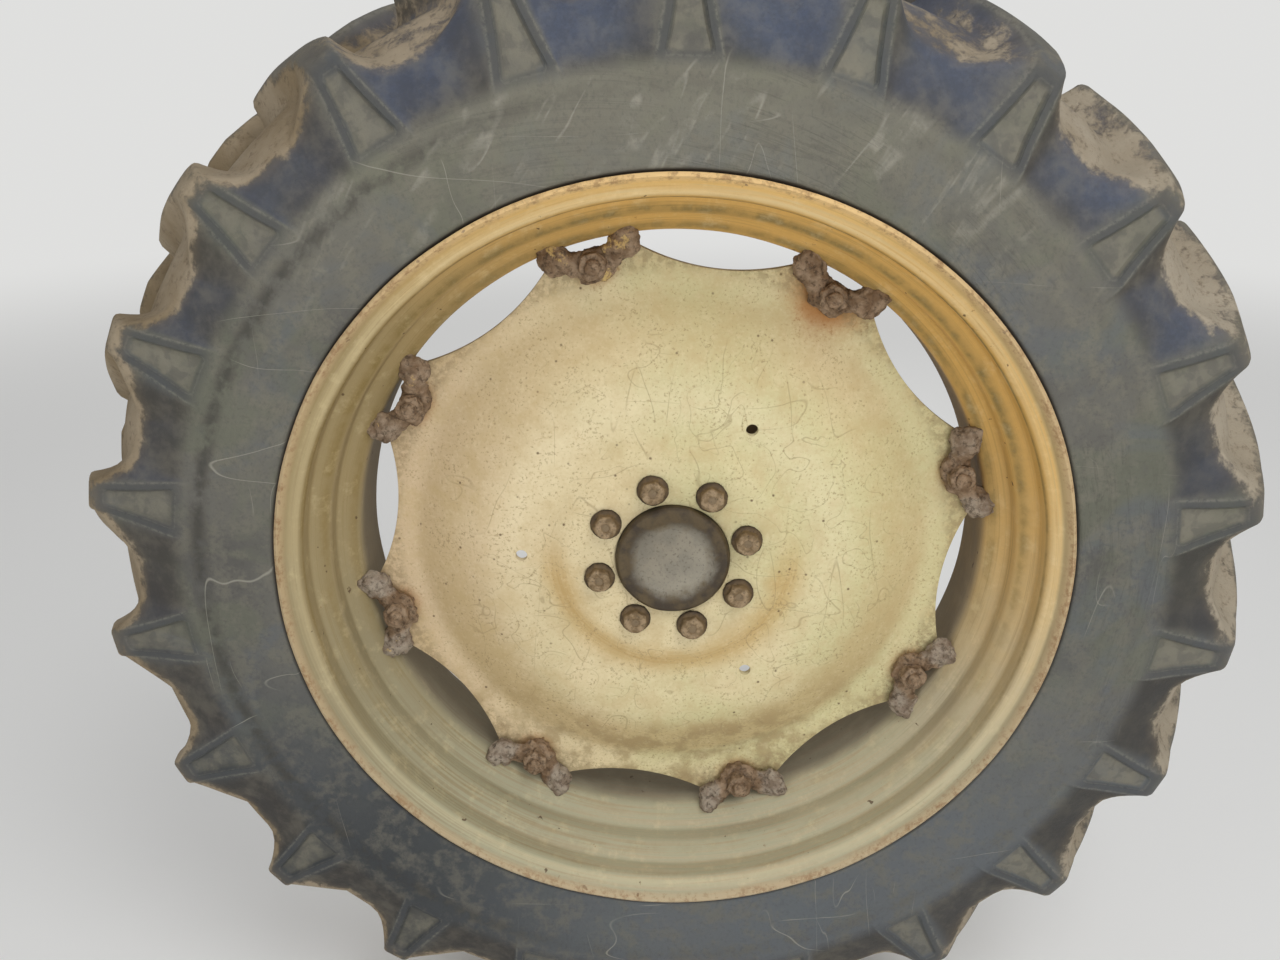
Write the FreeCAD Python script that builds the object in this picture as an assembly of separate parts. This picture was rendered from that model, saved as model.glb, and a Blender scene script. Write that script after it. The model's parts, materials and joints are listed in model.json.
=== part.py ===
import FreeCAD, Part
import os
from math import cos, pi, sin, sqrt, tan

os.makedirs("parts", exist_ok=True)

# Rear wheel of a farm tractor on the outer end of its axle, in millimetres.
# +Z is up, +Y points to the machine and the wheel spins about the Y axis.
# The origin is the centre of the flange by which the axle housing bolts to the machine.
# Radial stations are written r, distances along Y are written y.
# Angles are counted from +X towards +Z, as seen from the outboard side.

Vector = FreeCAD.Vector
ORIGIN = Vector(0, 0, 0)
SPIN_AXIS = Vector(0, -1, 0)

# Clearances
SEAT_GAP = 0.3
RUN_GAP = 0.05
BOLT_PLAY = 0.5
MOVING_GAP = 8.0

# Side of the blocks that trim a piece
CUTTER = 600.0
# How far a tool passes the faces that it cuts
OVERCUT = 1.0

# Axle shaft and its wheel flange
HUB_SEAT_Y = -460.0
AXLE_FLANGE_EDGE = 28.4
AXLE_FLANGE_T = 25.0
AXLE_NECK_RISE = 22.0
AXLE_NECK_LENGTH = 6.0
SHAFT_R = 40.0
SHAFT_END_Y = -6.0
PILOT_PLAY = 0.3
PILOT_LENGTH = 21.0
PILOT_CHAMFER = 4.0
PILOT_LAND = 19.9
PILOT_DISH_SLOPE = 10.0
PILOT_DISH_DEPTH = 5.0

# Wheel studs and nuts
STUD_COUNT = 8
STUD_PCD = 203.2
STUD_PHASE = 15.5
STUD_R = 9.0
STUD_PROUD = 25.0
NUT_COLLAR_R = 21.0
NUT_COLLAR_T = 7.0
NUT_FLATS = 27.0
NUT_HEIGHT = 18.0

# Wheel disc, dished towards the outboard side
DISC_T = 10.0
DISC_BORE_INSET = 25.4
DISC_HUB_MARGIN = 15.0
DISC_STEP_RUN = 25.0
DISC_STEP = 10.0
DISC_DISH_RUN = 100.0
DISC_DISH = 48.0
DISC_EDGE = 28.0
CORNER_GAP = 13.0
CORNER_COUNT = 8
CORNER_PHASE = 15.0
CORNER_HALF_WIDTH = 54.0
SCALLOP_DEPTH = 35.0
WEIGHT_HOLE_COUNT = 3
WEIGHT_HOLE_PHASE = 60.3
WEIGHT_HOLE_R = 8.0
WEIGHT_HOLE_INSET = 33.0

# Rim, rolled from sheet with a stepped well
RIM_CENTRE_Y = -373.6
RIM_WIDTH = 304.8
RIM_SHEET = 6.0
RIM_SEAT_R = 482.6
FLANGE_HEIGHT = 25.4
LIP_PROUD = 17.0
CURL_FALL = 11.0
SEAT_LENGTH = 34.0
STEP_DROP = 24.1
STEP_RUN = 14.5
LEDGE_RUN = 29.0
WELL_DROP = 26.5
WELL_RUN = 24.0

# Lugs welded in the rim's well that carry the disc, their radial places counted from the bolt
BOLT_EDGE = 17.0
LUG_T = 14.0
LUG_TONGUE_HALF = 21.0
LUG_TONGUE_LENGTH = 22.0
LUG_TIP_CORNER = 12.0
LUG_ROOT_HALF = 26.0
LUG_ROOT_RISE = 2.0
LUG_WING_HALF = 60.0
LUG_WING_RISE = 12.0
LUG_ARCH_RISE = 22.0
LUG_FOOT_WIDTH = 30.0
LUG_FOOT_DEPTH = 27.0
LUG_FOOT_RISE = 9.0

# Clamp bolts that hold the disc to the lugs
CLAMP_BOLT_R = 10.0
CLAMP_NUT_FLATS = 30.0
CLAMP_NUT_T = 20.0
CLAMP_BOLT_PROUD = 9.0
CLAMP_HEAD_T = 13.0

# Tyre, its heights counted from the rim's seat and its widths from the rim's flange
SECTION_HEIGHT = 292.4
TYRE_BULGE = 24.1
CLINCH_RISE = 17.9
RIM_GUARD_RISE = 30.4
RIM_GUARD_INSET = 8.5
BELLY_RISE = 117.4
BEAD_WIDTH = 30.0
CROWN_T = 53.0
TREAD_DEPTH = 42.0
SHOULDER_FALL = 37.0
SHOULDER_INSET = 30.5
TREAD_BASE_INSET = 96.5

# Tread bars, their radial places counted down from the crown and their widths in from the side
BAR_COUNT = 22
BAR_PHASE = 7.5
BAR_FOOT_RISE = 6.0
BAR_END_FALL = 34.0
BAR_END_INSET = 14.5
BAR_BEND_FALL = 13.0
BAR_BEND_INSET = 68.5
BAR_CROWN_W = 30.0
BAR_NOSE_W = 5.0
BAR_CROWN_HALF = 30.0
BAR_DRAFT = 0.205
BAR_TAPER = 0.32
BAR_OUTER_SLOPE = 0.30
BAR_INNER_SLOPE = 1.0
BAR_CROWN_ANGLE = 6.5
BAR_DEPTH_IN_CASING = 11.0
BAR_STOCK = 10.0
CASING_SWEEP = 60.0

# Axle housing
HOUSING_FLANGE_T = 22.0
HOUSING_FLANGE_EDGE = 19.0
HOUSING_BOLT_COUNT = 8
HOUSING_BOLT_PCD = 282.0
HOUSING_BOLT_HOLE_R = 8.75
BEARING_ROOM = 14.0
TUBE_WALL = 16.0
BOSS_PROUD = 22.0
BOSS_LENGTH = 92.0
BOSS_END_T = 14.0
BOSS_TAPER = 40.0
FLARE_LENGTH = 40.0
SPANNER_ROOM = 37.0

# Valve stem in the rim's well
VALVE_ANGLE = 97.0
VALVE_R = 6.0
VALVE_LENGTH = 34.0


def ring(profile, sweep=360.0):
    """Solid of revolution about Y from a closed outline whose columns are r, y."""
    points = [Vector(r, y, 0) for r, y in profile]
    face = Part.Face(Part.makePolygon(points + points[:1]))
    return face.revolve(ORIGIN, SPIN_AXIS, sweep)


def turned(shape, angle):
    """Copy of a shape turned about the wheel's axis."""
    copy = shape.copy()
    copy.rotate(ORIGIN, SPIN_AXIS, angle)
    return copy


def angles(count, phase):
    """Evenly spaced angles round the wheel."""
    return [phase + 360.0 * k / count for k in range(count)]


def repeated(shape, count, phase):
    """Copies of a shape, evenly spaced round the wheel."""
    return [turned(shape, angle) for angle in angles(count, phase)]


def rod(radius, x, y_low, y_high):
    """Round bar along Y at distance x from the axis."""
    return Part.makeCylinder(radius, y_high - y_low, Vector(x, y_low, 0), Vector(0, 1, 0))


def hexagon(flats, x, y_low, y_high):
    """Hexagonal bar along Y at distance x from the axis."""
    across = flats / sqrt(3)
    corners = [Vector(x + across * cos(k * pi / 3), y_low, across * sin(k * pi / 3)) for k in range(6)]
    face = Part.Face(Part.makePolygon(corners + corners[:1]))
    return face.extrude(Vector(0, y_high - y_low, 0))


def plate(outline, y_low, thickness):
    """Flat plate whose outline has the columns x, z."""
    points = [Vector(x, y_low, z) for x, z in outline]
    face = Part.Face(Part.makePolygon(points + points[:1]))
    return face.extrude(Vector(0, thickness, 0))


def save(name, shape):
    """Write one node."""
    shape.exportStep("parts/" + name + ".step")


# Radii round the hub, counted from the stud circle
STUD_CIRCLE_R = STUD_PCD / 2
AXLE_FLANGE_R = STUD_CIRCLE_R + AXLE_FLANGE_EDGE
DISC_BORE_R = STUD_CIRCLE_R - DISC_BORE_INSET
PILOT_R = DISC_BORE_R - PILOT_PLAY
DISC_HUB_R = AXLE_FLANGE_R + DISC_HUB_MARGIN
DISC_STEP_R = DISC_HUB_R + DISC_STEP_RUN
WEIGHT_HOLE_CIRCLE_R = DISC_STEP_R + WEIGHT_HOLE_INSET

# Radii of the housing, counted from the shaft, and those of its flange, from the bolt circle
HOUSING_BORE_R = SHAFT_R + BEARING_ROOM
TUBE_R = HOUSING_BORE_R + TUBE_WALL
BOSS_R = TUBE_R + BOSS_PROUD
HOUSING_BOLT_CIRCLE_R = HOUSING_BOLT_PCD / 2
HOUSING_FLANGE_R = HOUSING_BOLT_CIRCLE_R + HOUSING_FLANGE_EDGE
FLARE_R = HOUSING_BOLT_CIRCLE_R - SPANNER_ROOM

# Radii of the rim and of what fits inside it and on it, counted from the rim's seat
LEDGE_R = RIM_SEAT_R - STEP_DROP
WELL_R = LEDGE_R - WELL_DROP
DISC_CORNER_R = WELL_R - RIM_SHEET - CORNER_GAP
SCALLOP_FLOOR_R = DISC_CORNER_R - SCALLOP_DEPTH
DISC_RIM_R = SCALLOP_FLOOR_R - DISC_EDGE
DISC_FACE_R = DISC_RIM_R - DISC_DISH_RUN
LUG_BOLT_R = DISC_CORNER_R - BOLT_EDGE
TYRE_R = RIM_SEAT_R + SECTION_HEIGHT
CLINCH_R = RIM_SEAT_R + CLINCH_RISE
RIM_GUARD_R = RIM_SEAT_R + RIM_GUARD_RISE
BELLY_R = RIM_SEAT_R + BELLY_RISE
TREAD_BASE_R = TYRE_R - TREAD_DEPTH
SHOULDER_R = TREAD_BASE_R - SHOULDER_FALL
BAR_FOOT_R = BELLY_R + BAR_FOOT_RISE
BAR_END_R = TYRE_R - BAR_END_FALL
BAR_BEND_R = TYRE_R - BAR_BEND_FALL

# Distances from the rim's centre plane
FLANGE_W = RIM_WIDTH / 2
TYRE_HALF_WIDTH = FLANGE_W + TYRE_BULGE
RIM_GUARD_W = TYRE_HALF_WIDTH - RIM_GUARD_INSET
SHOULDER_HALF = TYRE_HALF_WIDTH - SHOULDER_INSET
TREAD_BASE_HALF = TYRE_HALF_WIDTH - TREAD_BASE_INSET
BAR_END_W = TYRE_HALF_WIDTH - BAR_END_INSET
BAR_BEND_W = TYRE_HALF_WIDTH - BAR_BEND_INSET

# Stations along the axle that several pieces share
DISC_FRONT_Y = HUB_SEAT_Y - DISC_T
FACE_Y = DISC_FRONT_Y + DISC_STEP
CORNER_FRONT_Y = FACE_Y + DISC_DISH
CORNER_BACK_Y = CORNER_FRONT_Y + DISC_T
FLANGE_BACK_Y = HUB_SEAT_Y + AXLE_FLANGE_T
LUG_FRONT_Y = CORNER_FRONT_Y - LUG_T


def make_axle():
    """Half shaft with its wheel flange, its studs and the pilot that centres the disc."""
    pilot_y = HUB_SEAT_Y - PILOT_LENGTH
    neck_y = FLANGE_BACK_Y + AXLE_NECK_LENGTH
    dish_r = PILOT_R - PILOT_LAND
    profile = [
        (0, pilot_y + PILOT_DISH_DEPTH),
        (dish_r - PILOT_DISH_SLOPE, pilot_y + PILOT_DISH_DEPTH),
        (dish_r, pilot_y),
        (PILOT_R - PILOT_CHAMFER, pilot_y),
        (PILOT_R, pilot_y + PILOT_CHAMFER),
        (PILOT_R, HUB_SEAT_Y),
        (AXLE_FLANGE_R, HUB_SEAT_Y),
        (AXLE_FLANGE_R, FLANGE_BACK_Y),
        (SHAFT_R + AXLE_NECK_RISE, FLANGE_BACK_Y),
        (SHAFT_R, neck_y),
        (SHAFT_R, SHAFT_END_Y),
        (0, SHAFT_END_Y),
    ]
    stud = rod(STUD_R, STUD_CIRCLE_R, DISC_FRONT_Y - STUD_PROUD, HUB_SEAT_Y + OVERCUT)
    return ring(profile).fuse(repeated(stud, STUD_COUNT, STUD_PHASE))


def make_wheel_nut():
    """Wheel nut with a round collar, seated on the disc."""
    collar = rod(NUT_COLLAR_R, STUD_CIRCLE_R, DISC_FRONT_Y - NUT_COLLAR_T, DISC_FRONT_Y)
    body = hexagon(NUT_FLATS, STUD_CIRCLE_R, DISC_FRONT_Y - NUT_HEIGHT, DISC_FRONT_Y - NUT_COLLAR_T)
    bore = rod(STUD_R + RUN_GAP, STUD_CIRCLE_R, DISC_FRONT_Y - NUT_HEIGHT, DISC_FRONT_Y)
    return collar.fuse(body).cut(bore)


def make_disc():
    """Dished disc with eight corners, the scallops between them and its holes."""
    front = [
        (DISC_BORE_R, DISC_FRONT_Y),
        (DISC_HUB_R, DISC_FRONT_Y),
        (DISC_STEP_R, FACE_Y),
        (DISC_FACE_R, FACE_Y),
        (DISC_RIM_R, CORNER_FRONT_Y),
        (DISC_CORNER_R, CORNER_FRONT_Y),
    ]
    back = [(r, y + DISC_T) for r, y in reversed(front)]
    disc = ring(front + back)
    # Each scallop is an arc through the ends of two corners and through its own floor
    half_step = pi / CORNER_COUNT
    corner_half = CORNER_HALF_WIDTH / DISC_CORNER_R
    chord_half = DISC_CORNER_R * sin(half_step - corner_half)
    sagitta = DISC_CORNER_R * cos(half_step - corner_half) - SCALLOP_FLOOR_R
    scallop_r = (chord_half ** 2 + sagitta ** 2) / (2 * sagitta)
    scallop = rod(scallop_r, SCALLOP_FLOOR_R + scallop_r, DISC_FRONT_Y - OVERCUT, CORNER_BACK_Y + OVERCUT)
    scallop_phase = CORNER_PHASE + 180.0 / CORNER_COUNT
    cutters = repeated(scallop, CORNER_COUNT, scallop_phase)
    # Columns: hole radius, circle radius, count, phase
    holes = [
        (STUD_R + BOLT_PLAY, STUD_CIRCLE_R, STUD_COUNT, STUD_PHASE),
        (CLAMP_BOLT_R + BOLT_PLAY, LUG_BOLT_R, CORNER_COUNT, CORNER_PHASE),
        (WEIGHT_HOLE_R, WEIGHT_HOLE_CIRCLE_R, WEIGHT_HOLE_COUNT, WEIGHT_HOLE_PHASE),
    ]
    for radius, circle_r, count, phase in holes:
        hole = rod(radius, circle_r, DISC_FRONT_Y - OVERCUT, CORNER_BACK_Y + OVERCUT)
        cutters += repeated(hole, count, phase)
    return disc.cut(Part.makeCompound(cutters))


def rim_side(offset):
    """Half profile of the rim's sheet, columns w and r, from the lip to the well.

    w is the distance from the rim's centre plane. An offset of zero gives the side
    that the tyre sits on, and an offset of one the open side.
    """
    sheet = RIM_SHEET * offset
    lip_w = FLANGE_W + LIP_PROUD
    flange_top = RIM_SEAT_R + FLANGE_HEIGHT
    seat_end_w = FLANGE_W - SEAT_LENGTH
    step_end_w = seat_end_w - STEP_RUN
    ledge_end_w = step_end_w - LEDGE_RUN
    shift = sheet * tan(pi / 8)
    return [
        (lip_w, flange_top - sheet),
        (FLANGE_W + sheet, flange_top - CURL_FALL - sheet),
        (FLANGE_W + sheet, RIM_SEAT_R - sheet),
        (seat_end_w - shift, RIM_SEAT_R - sheet),
        (step_end_w - shift, LEDGE_R - sheet),
        (ledge_end_w - shift, LEDGE_R - sheet),
        (ledge_end_w - WELL_RUN - shift, WELL_R - sheet),
    ]


def both_sides(half):
    """Full profile from its outboard half, columns r and y."""
    outboard = [(r, RIM_CENTRE_Y - w) for w, r in half]
    inboard = [(r, RIM_CENTRE_Y + w) for w, r in reversed(half)]
    return outboard + inboard


def make_rim():
    """Rim rolled from one sheet."""
    tyre_side = both_sides(rim_side(0))
    open_side = both_sides(rim_side(1))
    return ring(tyre_side + open_side[::-1])


def make_rim_lug():
    """Lug welded in the well: a tongue over the disc's corner between two feet."""
    tip_r = LUG_BOLT_R - LUG_TONGUE_LENGTH
    arch_half = LUG_WING_HALF - LUG_FOOT_WIDTH
    outline = [
        (tip_r, LUG_TONGUE_HALF - LUG_TIP_CORNER),
        (tip_r + LUG_TIP_CORNER, LUG_TONGUE_HALF),
        (LUG_BOLT_R + LUG_ROOT_RISE, LUG_ROOT_HALF),
        (LUG_BOLT_R + LUG_WING_RISE, LUG_WING_HALF),
        (RIM_SEAT_R, LUG_WING_HALF),
        (RIM_SEAT_R, arch_half),
        (LUG_BOLT_R + LUG_ARCH_RISE, arch_half),
    ]
    outline += [(x, -z) for x, z in reversed(outline)]
    lug = plate(outline, LUG_FRONT_Y, LUG_T)
    foot_r = LUG_BOLT_R + LUG_FOOT_RISE
    foot_y = CORNER_FRONT_Y - LUG_FOOT_DEPTH
    for low_z in (-LUG_WING_HALF, arch_half):
        corner = Vector(foot_r, foot_y, low_z)
        block = Part.makeBox(RIM_SEAT_R - foot_r, LUG_FOOT_DEPTH, LUG_FOOT_WIDTH, corner)
        lug = lug.fuse(block)
    hole = rod(CLAMP_BOLT_R + BOLT_PLAY, LUG_BOLT_R, LUG_FRONT_Y - OVERCUT, CORNER_FRONT_Y + OVERCUT)
    # The feet are cut to the shape of the well
    well = [(r - SEAT_GAP, y) for r, y in both_sides(rim_side(1))]
    room = ring([(0, well[0][1])] + well + [(0, well[-1][1])])
    return lug.cut(hole).common(room).removeSplitter()


def make_clamp_bolt():
    """Bolt through a corner of the disc and its lug, with its head inboard."""
    x = LUG_BOLT_R
    shank_y = LUG_FRONT_Y - CLAMP_NUT_T - CLAMP_BOLT_PROUD
    shank = rod(CLAMP_BOLT_R, x, shank_y, CORNER_BACK_Y)
    head = hexagon(CLAMP_NUT_FLATS, x, CORNER_BACK_Y, CORNER_BACK_Y + CLAMP_HEAD_T)
    return shank.fuse(head)


def make_clamp_nut():
    """Nut seated on the lug."""
    x = LUG_BOLT_R
    body = hexagon(CLAMP_NUT_FLATS, x, LUG_FRONT_Y - CLAMP_NUT_T, LUG_FRONT_Y)
    return body.cut(rod(CLAMP_BOLT_R + RUN_GAP, x, LUG_FRONT_Y - CLAMP_NUT_T, LUG_FRONT_Y))


def make_carcass():
    """Casing of the tyre without its bars, a hollow ring open at the beads."""
    seat_r = RIM_SEAT_R + SEAT_GAP
    heel_w = FLANGE_W - SEAT_GAP
    toe_w = FLANGE_W - BEAD_WIDTH
    # Columns: w, r from the inside of the crown to the bead and out to the tread's base
    half = [
        (toe_w, TREAD_BASE_R - CROWN_T),
        (toe_w, seat_r),
        (heel_w, seat_r),
        (heel_w, CLINCH_R),
        (RIM_GUARD_W, RIM_GUARD_R),
        (TYRE_HALF_WIDTH, BELLY_R),
        (SHOULDER_HALF, SHOULDER_R),
        (TREAD_BASE_HALF, TREAD_BASE_R),
    ]
    return ring(both_sides(half))


def trimmed(shape, first, second, angle):
    """Shape without what lies outside a plane through two points whose columns are w, r."""
    w, r = first
    low = Vector(r, RIM_CENTRE_Y - w, 0)
    w, r = second
    high = Vector(r, RIM_CENTRE_Y - w, 0)
    normal = (high - low).cross(Vector(0, 0, 1))
    if normal.x < 0:
        normal = normal * -1
    return beyond_cut(shape, low, normal, angle)


def beyond_cut(shape, point, normal, angle=0.0):
    """Shape without what lies beyond a plane, the plane turned by an angle first."""
    block = Part.makeBox(CUTTER, CUTTER, CUTTER, Vector(-CUTTER / 2, -CUTTER / 2, 0))
    block.Placement = FreeCAD.Placement(point, FreeCAD.Rotation(Vector(0, 0, 1), normal))
    return shape.cut(turned(block, angle))


def bar_stretch(low_w, high_w, bend_z, slope, taper):
    """Stretch of a bar between two widths, its drafted flanks set by the bar's half width at the bend."""
    corner = Vector(BAR_FOOT_R, RIM_CENTRE_Y - high_w, -CUTTER / 2)
    stretch = Part.makeBox(TYRE_R + BAR_STOCK - BAR_FOOT_R, high_w - low_w, CUTTER, corner)
    for side in (-1, 1):
        edge = Vector(BAR_BEND_R, RIM_CENTRE_Y - BAR_BEND_W, bend_z + side * BAR_CROWN_HALF)
        stretch = beyond_cut(stretch, edge, Vector(BAR_DRAFT, -side * slope - taper, side))
    return stretch


def make_bar():
    """One outboard tread bar, from the sidewall over the shoulder to the centre."""
    bend_z = (BAR_END_W - BAR_BEND_W) * BAR_OUTER_SLOPE
    outer = bar_stretch(BAR_BEND_W, TYRE_HALF_WIDTH + BAR_STOCK, bend_z, BAR_OUTER_SLOPE, BAR_TAPER)
    inner = bar_stretch(BAR_NOSE_W - BAR_STOCK, BAR_BEND_W, bend_z, BAR_INNER_SLOPE, 0)
    bar = outer.fuse(inner).removeSplitter()
    belly = (TYRE_HALF_WIDTH, BAR_FOOT_R)
    bar_end = (BAR_END_W, BAR_END_R)
    bend = (BAR_BEND_W, BAR_BEND_R)
    crown = (BAR_CROWN_W, TYRE_R)
    # Columns: two points of the plane, the angle at which it lies across the bar
    planes = [
        (belly, bar_end, 0.0),
        (bar_end, bend, 0.0),
        (bend, crown, BAR_CROWN_ANGLE),
        (crown, (BAR_NOSE_W, TYRE_R), BAR_CROWN_ANGLE),
    ]
    for first, second, angle in planes:
        bar = trimmed(bar, first, second, angle)
    nose_z = bend_z + (BAR_BEND_W - BAR_NOSE_W) * BAR_INNER_SLOPE
    nose = Vector(TYRE_R, RIM_CENTRE_Y - BAR_NOSE_W, nose_z)
    bar = beyond_cut(bar, nose, Vector(0, 1, BAR_INNER_SLOPE))
    # The foot of the bar stays inside the casing's wall
    depth = BAR_DEPTH_IN_CASING
    core = [
        (0, RIM_CENTRE_Y - TYRE_HALF_WIDTH + depth),
        (BELLY_R, RIM_CENTRE_Y - TYRE_HALF_WIDTH + depth),
        (SHOULDER_R - depth, RIM_CENTRE_Y - SHOULDER_HALF + depth),
        (TREAD_BASE_R - depth, RIM_CENTRE_Y - TREAD_BASE_HALF),
        (TREAD_BASE_R - depth, RIM_CENTRE_Y + CUTTER),
        (0, RIM_CENTRE_Y + CUTTER),
    ]
    return bar.cut(turned(ring(core, CASING_SWEEP), -CASING_SWEEP / 2))


def make_tyre():
    """Tyre with its bars, those of the inboard side half a pitch on."""
    bar = make_bar()
    mirrored = bar.mirror(Vector(0, RIM_CENTRE_Y, 0), Vector(0, 1, 0))
    half_pitch = 180.0 / BAR_COUNT
    bars = repeated(bar, BAR_COUNT, BAR_PHASE)
    bars += repeated(mirrored, BAR_COUNT, BAR_PHASE + half_pitch)
    return make_carcass().fuse(bars)


def make_housing():
    """Hollow axle housing: bearing boss closed round the shaft, tube and flange to the machine."""
    end_y = FLANGE_BACK_Y + MOVING_GAP
    boss_y = end_y + BOSS_LENGTH
    profile = [
        (SHAFT_R + RUN_GAP, end_y),
        (BOSS_R, end_y),
        (BOSS_R, boss_y),
        (TUBE_R, boss_y + BOSS_TAPER),
        (TUBE_R, -HOUSING_FLANGE_T - FLARE_LENGTH),
        (FLARE_R, -HOUSING_FLANGE_T),
        (HOUSING_FLANGE_R, -HOUSING_FLANGE_T),
        (HOUSING_FLANGE_R, 0),
        (HOUSING_BORE_R, 0),
        (HOUSING_BORE_R, end_y + BOSS_END_T),
        (SHAFT_R + RUN_GAP, end_y + BOSS_END_T),
    ]
    hole = rod(HOUSING_BOLT_HOLE_R, HOUSING_BOLT_CIRCLE_R, -HOUSING_FLANGE_T - OVERCUT, OVERCUT)
    phase = 180.0 / HOUSING_BOLT_COUNT
    return ring(profile).cut(Part.makeCompound(repeated(hole, HOUSING_BOLT_COUNT, phase)))


def make_valve():
    """Valve stem standing on the floor of the rim's well."""
    floor_r = WELL_R - RIM_SHEET - SEAT_GAP
    stem = Part.makeCylinder(VALVE_R, VALVE_LENGTH, Vector(floor_r, RIM_CENTRE_Y, 0), Vector(-1, 0, 0))
    return turned(stem, VALVE_ANGLE)


# Single pieces: node name and its shape
single = {
    "tyre": make_tyre(),
    "rim": make_rim(),
    "wheel_disc": make_disc(),
    "axle_shaft": make_axle(),
    "axle_housing": make_housing(),
    "valve_stem": make_valve(),
}
for node, shape in single.items():
    save(node, shape)

# Small fasteners share a node: node name, one piece, count and phase
fasteners = [
    ("clamp_bolts", make_clamp_bolt(), CORNER_COUNT, CORNER_PHASE),
    ("clamp_nuts", make_clamp_nut(), CORNER_COUNT, CORNER_PHASE),
    ("wheel_nuts", make_wheel_nut(), STUD_COUNT, STUD_PHASE),
]
for node, piece, count, phase in fasteners:
    save(node, Part.makeCompound(repeated(piece, count, phase)))

# Each lug in the rim's well is a node of its own
for number, shape in enumerate(repeated(make_rim_lug(), CORNER_COUNT, CORNER_PHASE), start=1):
    save("rim_lug_" + str(number), shape)
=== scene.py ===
"""Rear wheel of a farm tractor on the end of its axle, dressed for a studio picture.

Blender works in metres and the sizes of the pieces are fields in millimetres.
Y points to the machine, Z is up and the wheel spins about the Y axis. Angles are counted
from +X towards +Z, as seen from the outboard side.
"""

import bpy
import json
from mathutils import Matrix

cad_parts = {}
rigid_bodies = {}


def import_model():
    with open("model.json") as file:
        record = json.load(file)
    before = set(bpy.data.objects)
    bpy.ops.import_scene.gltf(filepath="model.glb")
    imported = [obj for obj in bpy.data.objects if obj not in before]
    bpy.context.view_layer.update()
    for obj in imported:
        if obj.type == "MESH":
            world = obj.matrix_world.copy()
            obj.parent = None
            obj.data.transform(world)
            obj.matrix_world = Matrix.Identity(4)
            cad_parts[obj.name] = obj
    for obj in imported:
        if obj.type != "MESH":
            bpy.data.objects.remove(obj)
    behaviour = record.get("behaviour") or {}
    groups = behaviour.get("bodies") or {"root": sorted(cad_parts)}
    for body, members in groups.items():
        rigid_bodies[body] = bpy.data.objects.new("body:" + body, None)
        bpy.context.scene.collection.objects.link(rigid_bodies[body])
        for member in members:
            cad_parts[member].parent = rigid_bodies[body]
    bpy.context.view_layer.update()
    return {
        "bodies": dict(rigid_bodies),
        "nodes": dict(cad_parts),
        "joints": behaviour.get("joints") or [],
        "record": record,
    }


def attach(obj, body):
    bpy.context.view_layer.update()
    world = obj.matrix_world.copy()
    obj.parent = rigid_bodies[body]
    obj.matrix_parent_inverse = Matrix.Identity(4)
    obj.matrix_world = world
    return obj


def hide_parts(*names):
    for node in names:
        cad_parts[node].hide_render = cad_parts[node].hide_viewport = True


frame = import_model()

import json
import logging
from dataclasses import dataclass, field
from enum import Enum
from math import acos, atan2, cos, pi, radians, sin, sqrt, tan
from typing import Callable, Sequence

import bmesh
import bpy
import numpy as np
from mathutils import Matrix, Vector, noise

LOG = logging.getLogger("wheel")
MM = 0.001
# How far the noise of one seed lies from that of the next
SEED_STRIDE = (7.3, 3.1, 1.7)
# Metres within which a point counts as on the axis, and within which doubles are merged
ON_AXIS = 1e-7
DOUBLES = 1e-6
# Sizes that several pieces share, in millimetres and degrees
CENTRE_Y = -373.6
CORNERS = 8
CORNER_PHASE = 15.0
LUG_FACE_Y = -426.0
STUDS = 8
STUD_PHASE = 15.5
STUD_CIRCLE_R = 101.6

Colour = tuple[float, float, float, float]
Pair = tuple[float, float]
Triple = tuple[float, float, float]


class Body(Enum):
    """The two bodies that pieces ride on."""

    WHEEL = "wheel"
    HOUSING = "housing"


class Primitive(Enum):
    """Meshes that a piece can start from."""

    CIRCLE = "circle"
    CYLINDER = "cylinder"
    GRID = "grid"
    SPHERE = "uv_sphere"


def paint(red: int, green: int, blue: int) -> Colour:
    """A colour as it is written for a screen, made linear.

    Args:
        red: level from 0 to 255.
        green: level from 0 to 255.
        blue: level from 0 to 255.

    Returns:
        The linear colour.
    """
    def linear(level: int) -> float:
        """One level, made linear."""
        share = level / 255
        return share / 12.92 if share <= 0.04045 else ((share + 0.055) / 1.055) ** 2.4
    return linear(red), linear(green), linear(blue), 1.0


# Outlines

def rounded(corners: Sequence[Triple], closed: bool = False, arc_points: int = 6) -> list[Pair]:
    """Line whose corners are rounded with arcs.

    Args:
        corners: the corners, each two coordinates and the radius of its arc.
        closed: whether the last corner joins the first.
        arc_points: points along each arc.

    Returns:
        The points of the line.
    """
    points: list[Pair] = []
    last = len(corners) - 1
    for index, (a, b, radius) in enumerate(corners):
        if radius == 0 or (not closed and index in (0, last)):
            points.append((a, b))
            continue
        here = Vector((a, b))
        back = (Vector(corners[index - 1][:2]) - here).normalized()
        ahead = (Vector(corners[(index + 1) % len(corners)][:2]) - here).normalized()
        half = acos(max(-1.0, min(1.0, back.dot(ahead)))) / 2
        middle = here + (back + ahead).normalized() * (radius / sin(half))
        reach = radius / tan(half)
        first = here + back * reach - middle
        turn = first.angle_signed(here + ahead * reach - middle)
        for step in range(arc_points + 1):
            spoke = first.copy()
            spoke.rotate(Matrix.Rotation(-turn * step / arc_points, 2))
            points.append((middle.x + spoke.x, middle.y + spoke.y))
    return points


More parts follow.
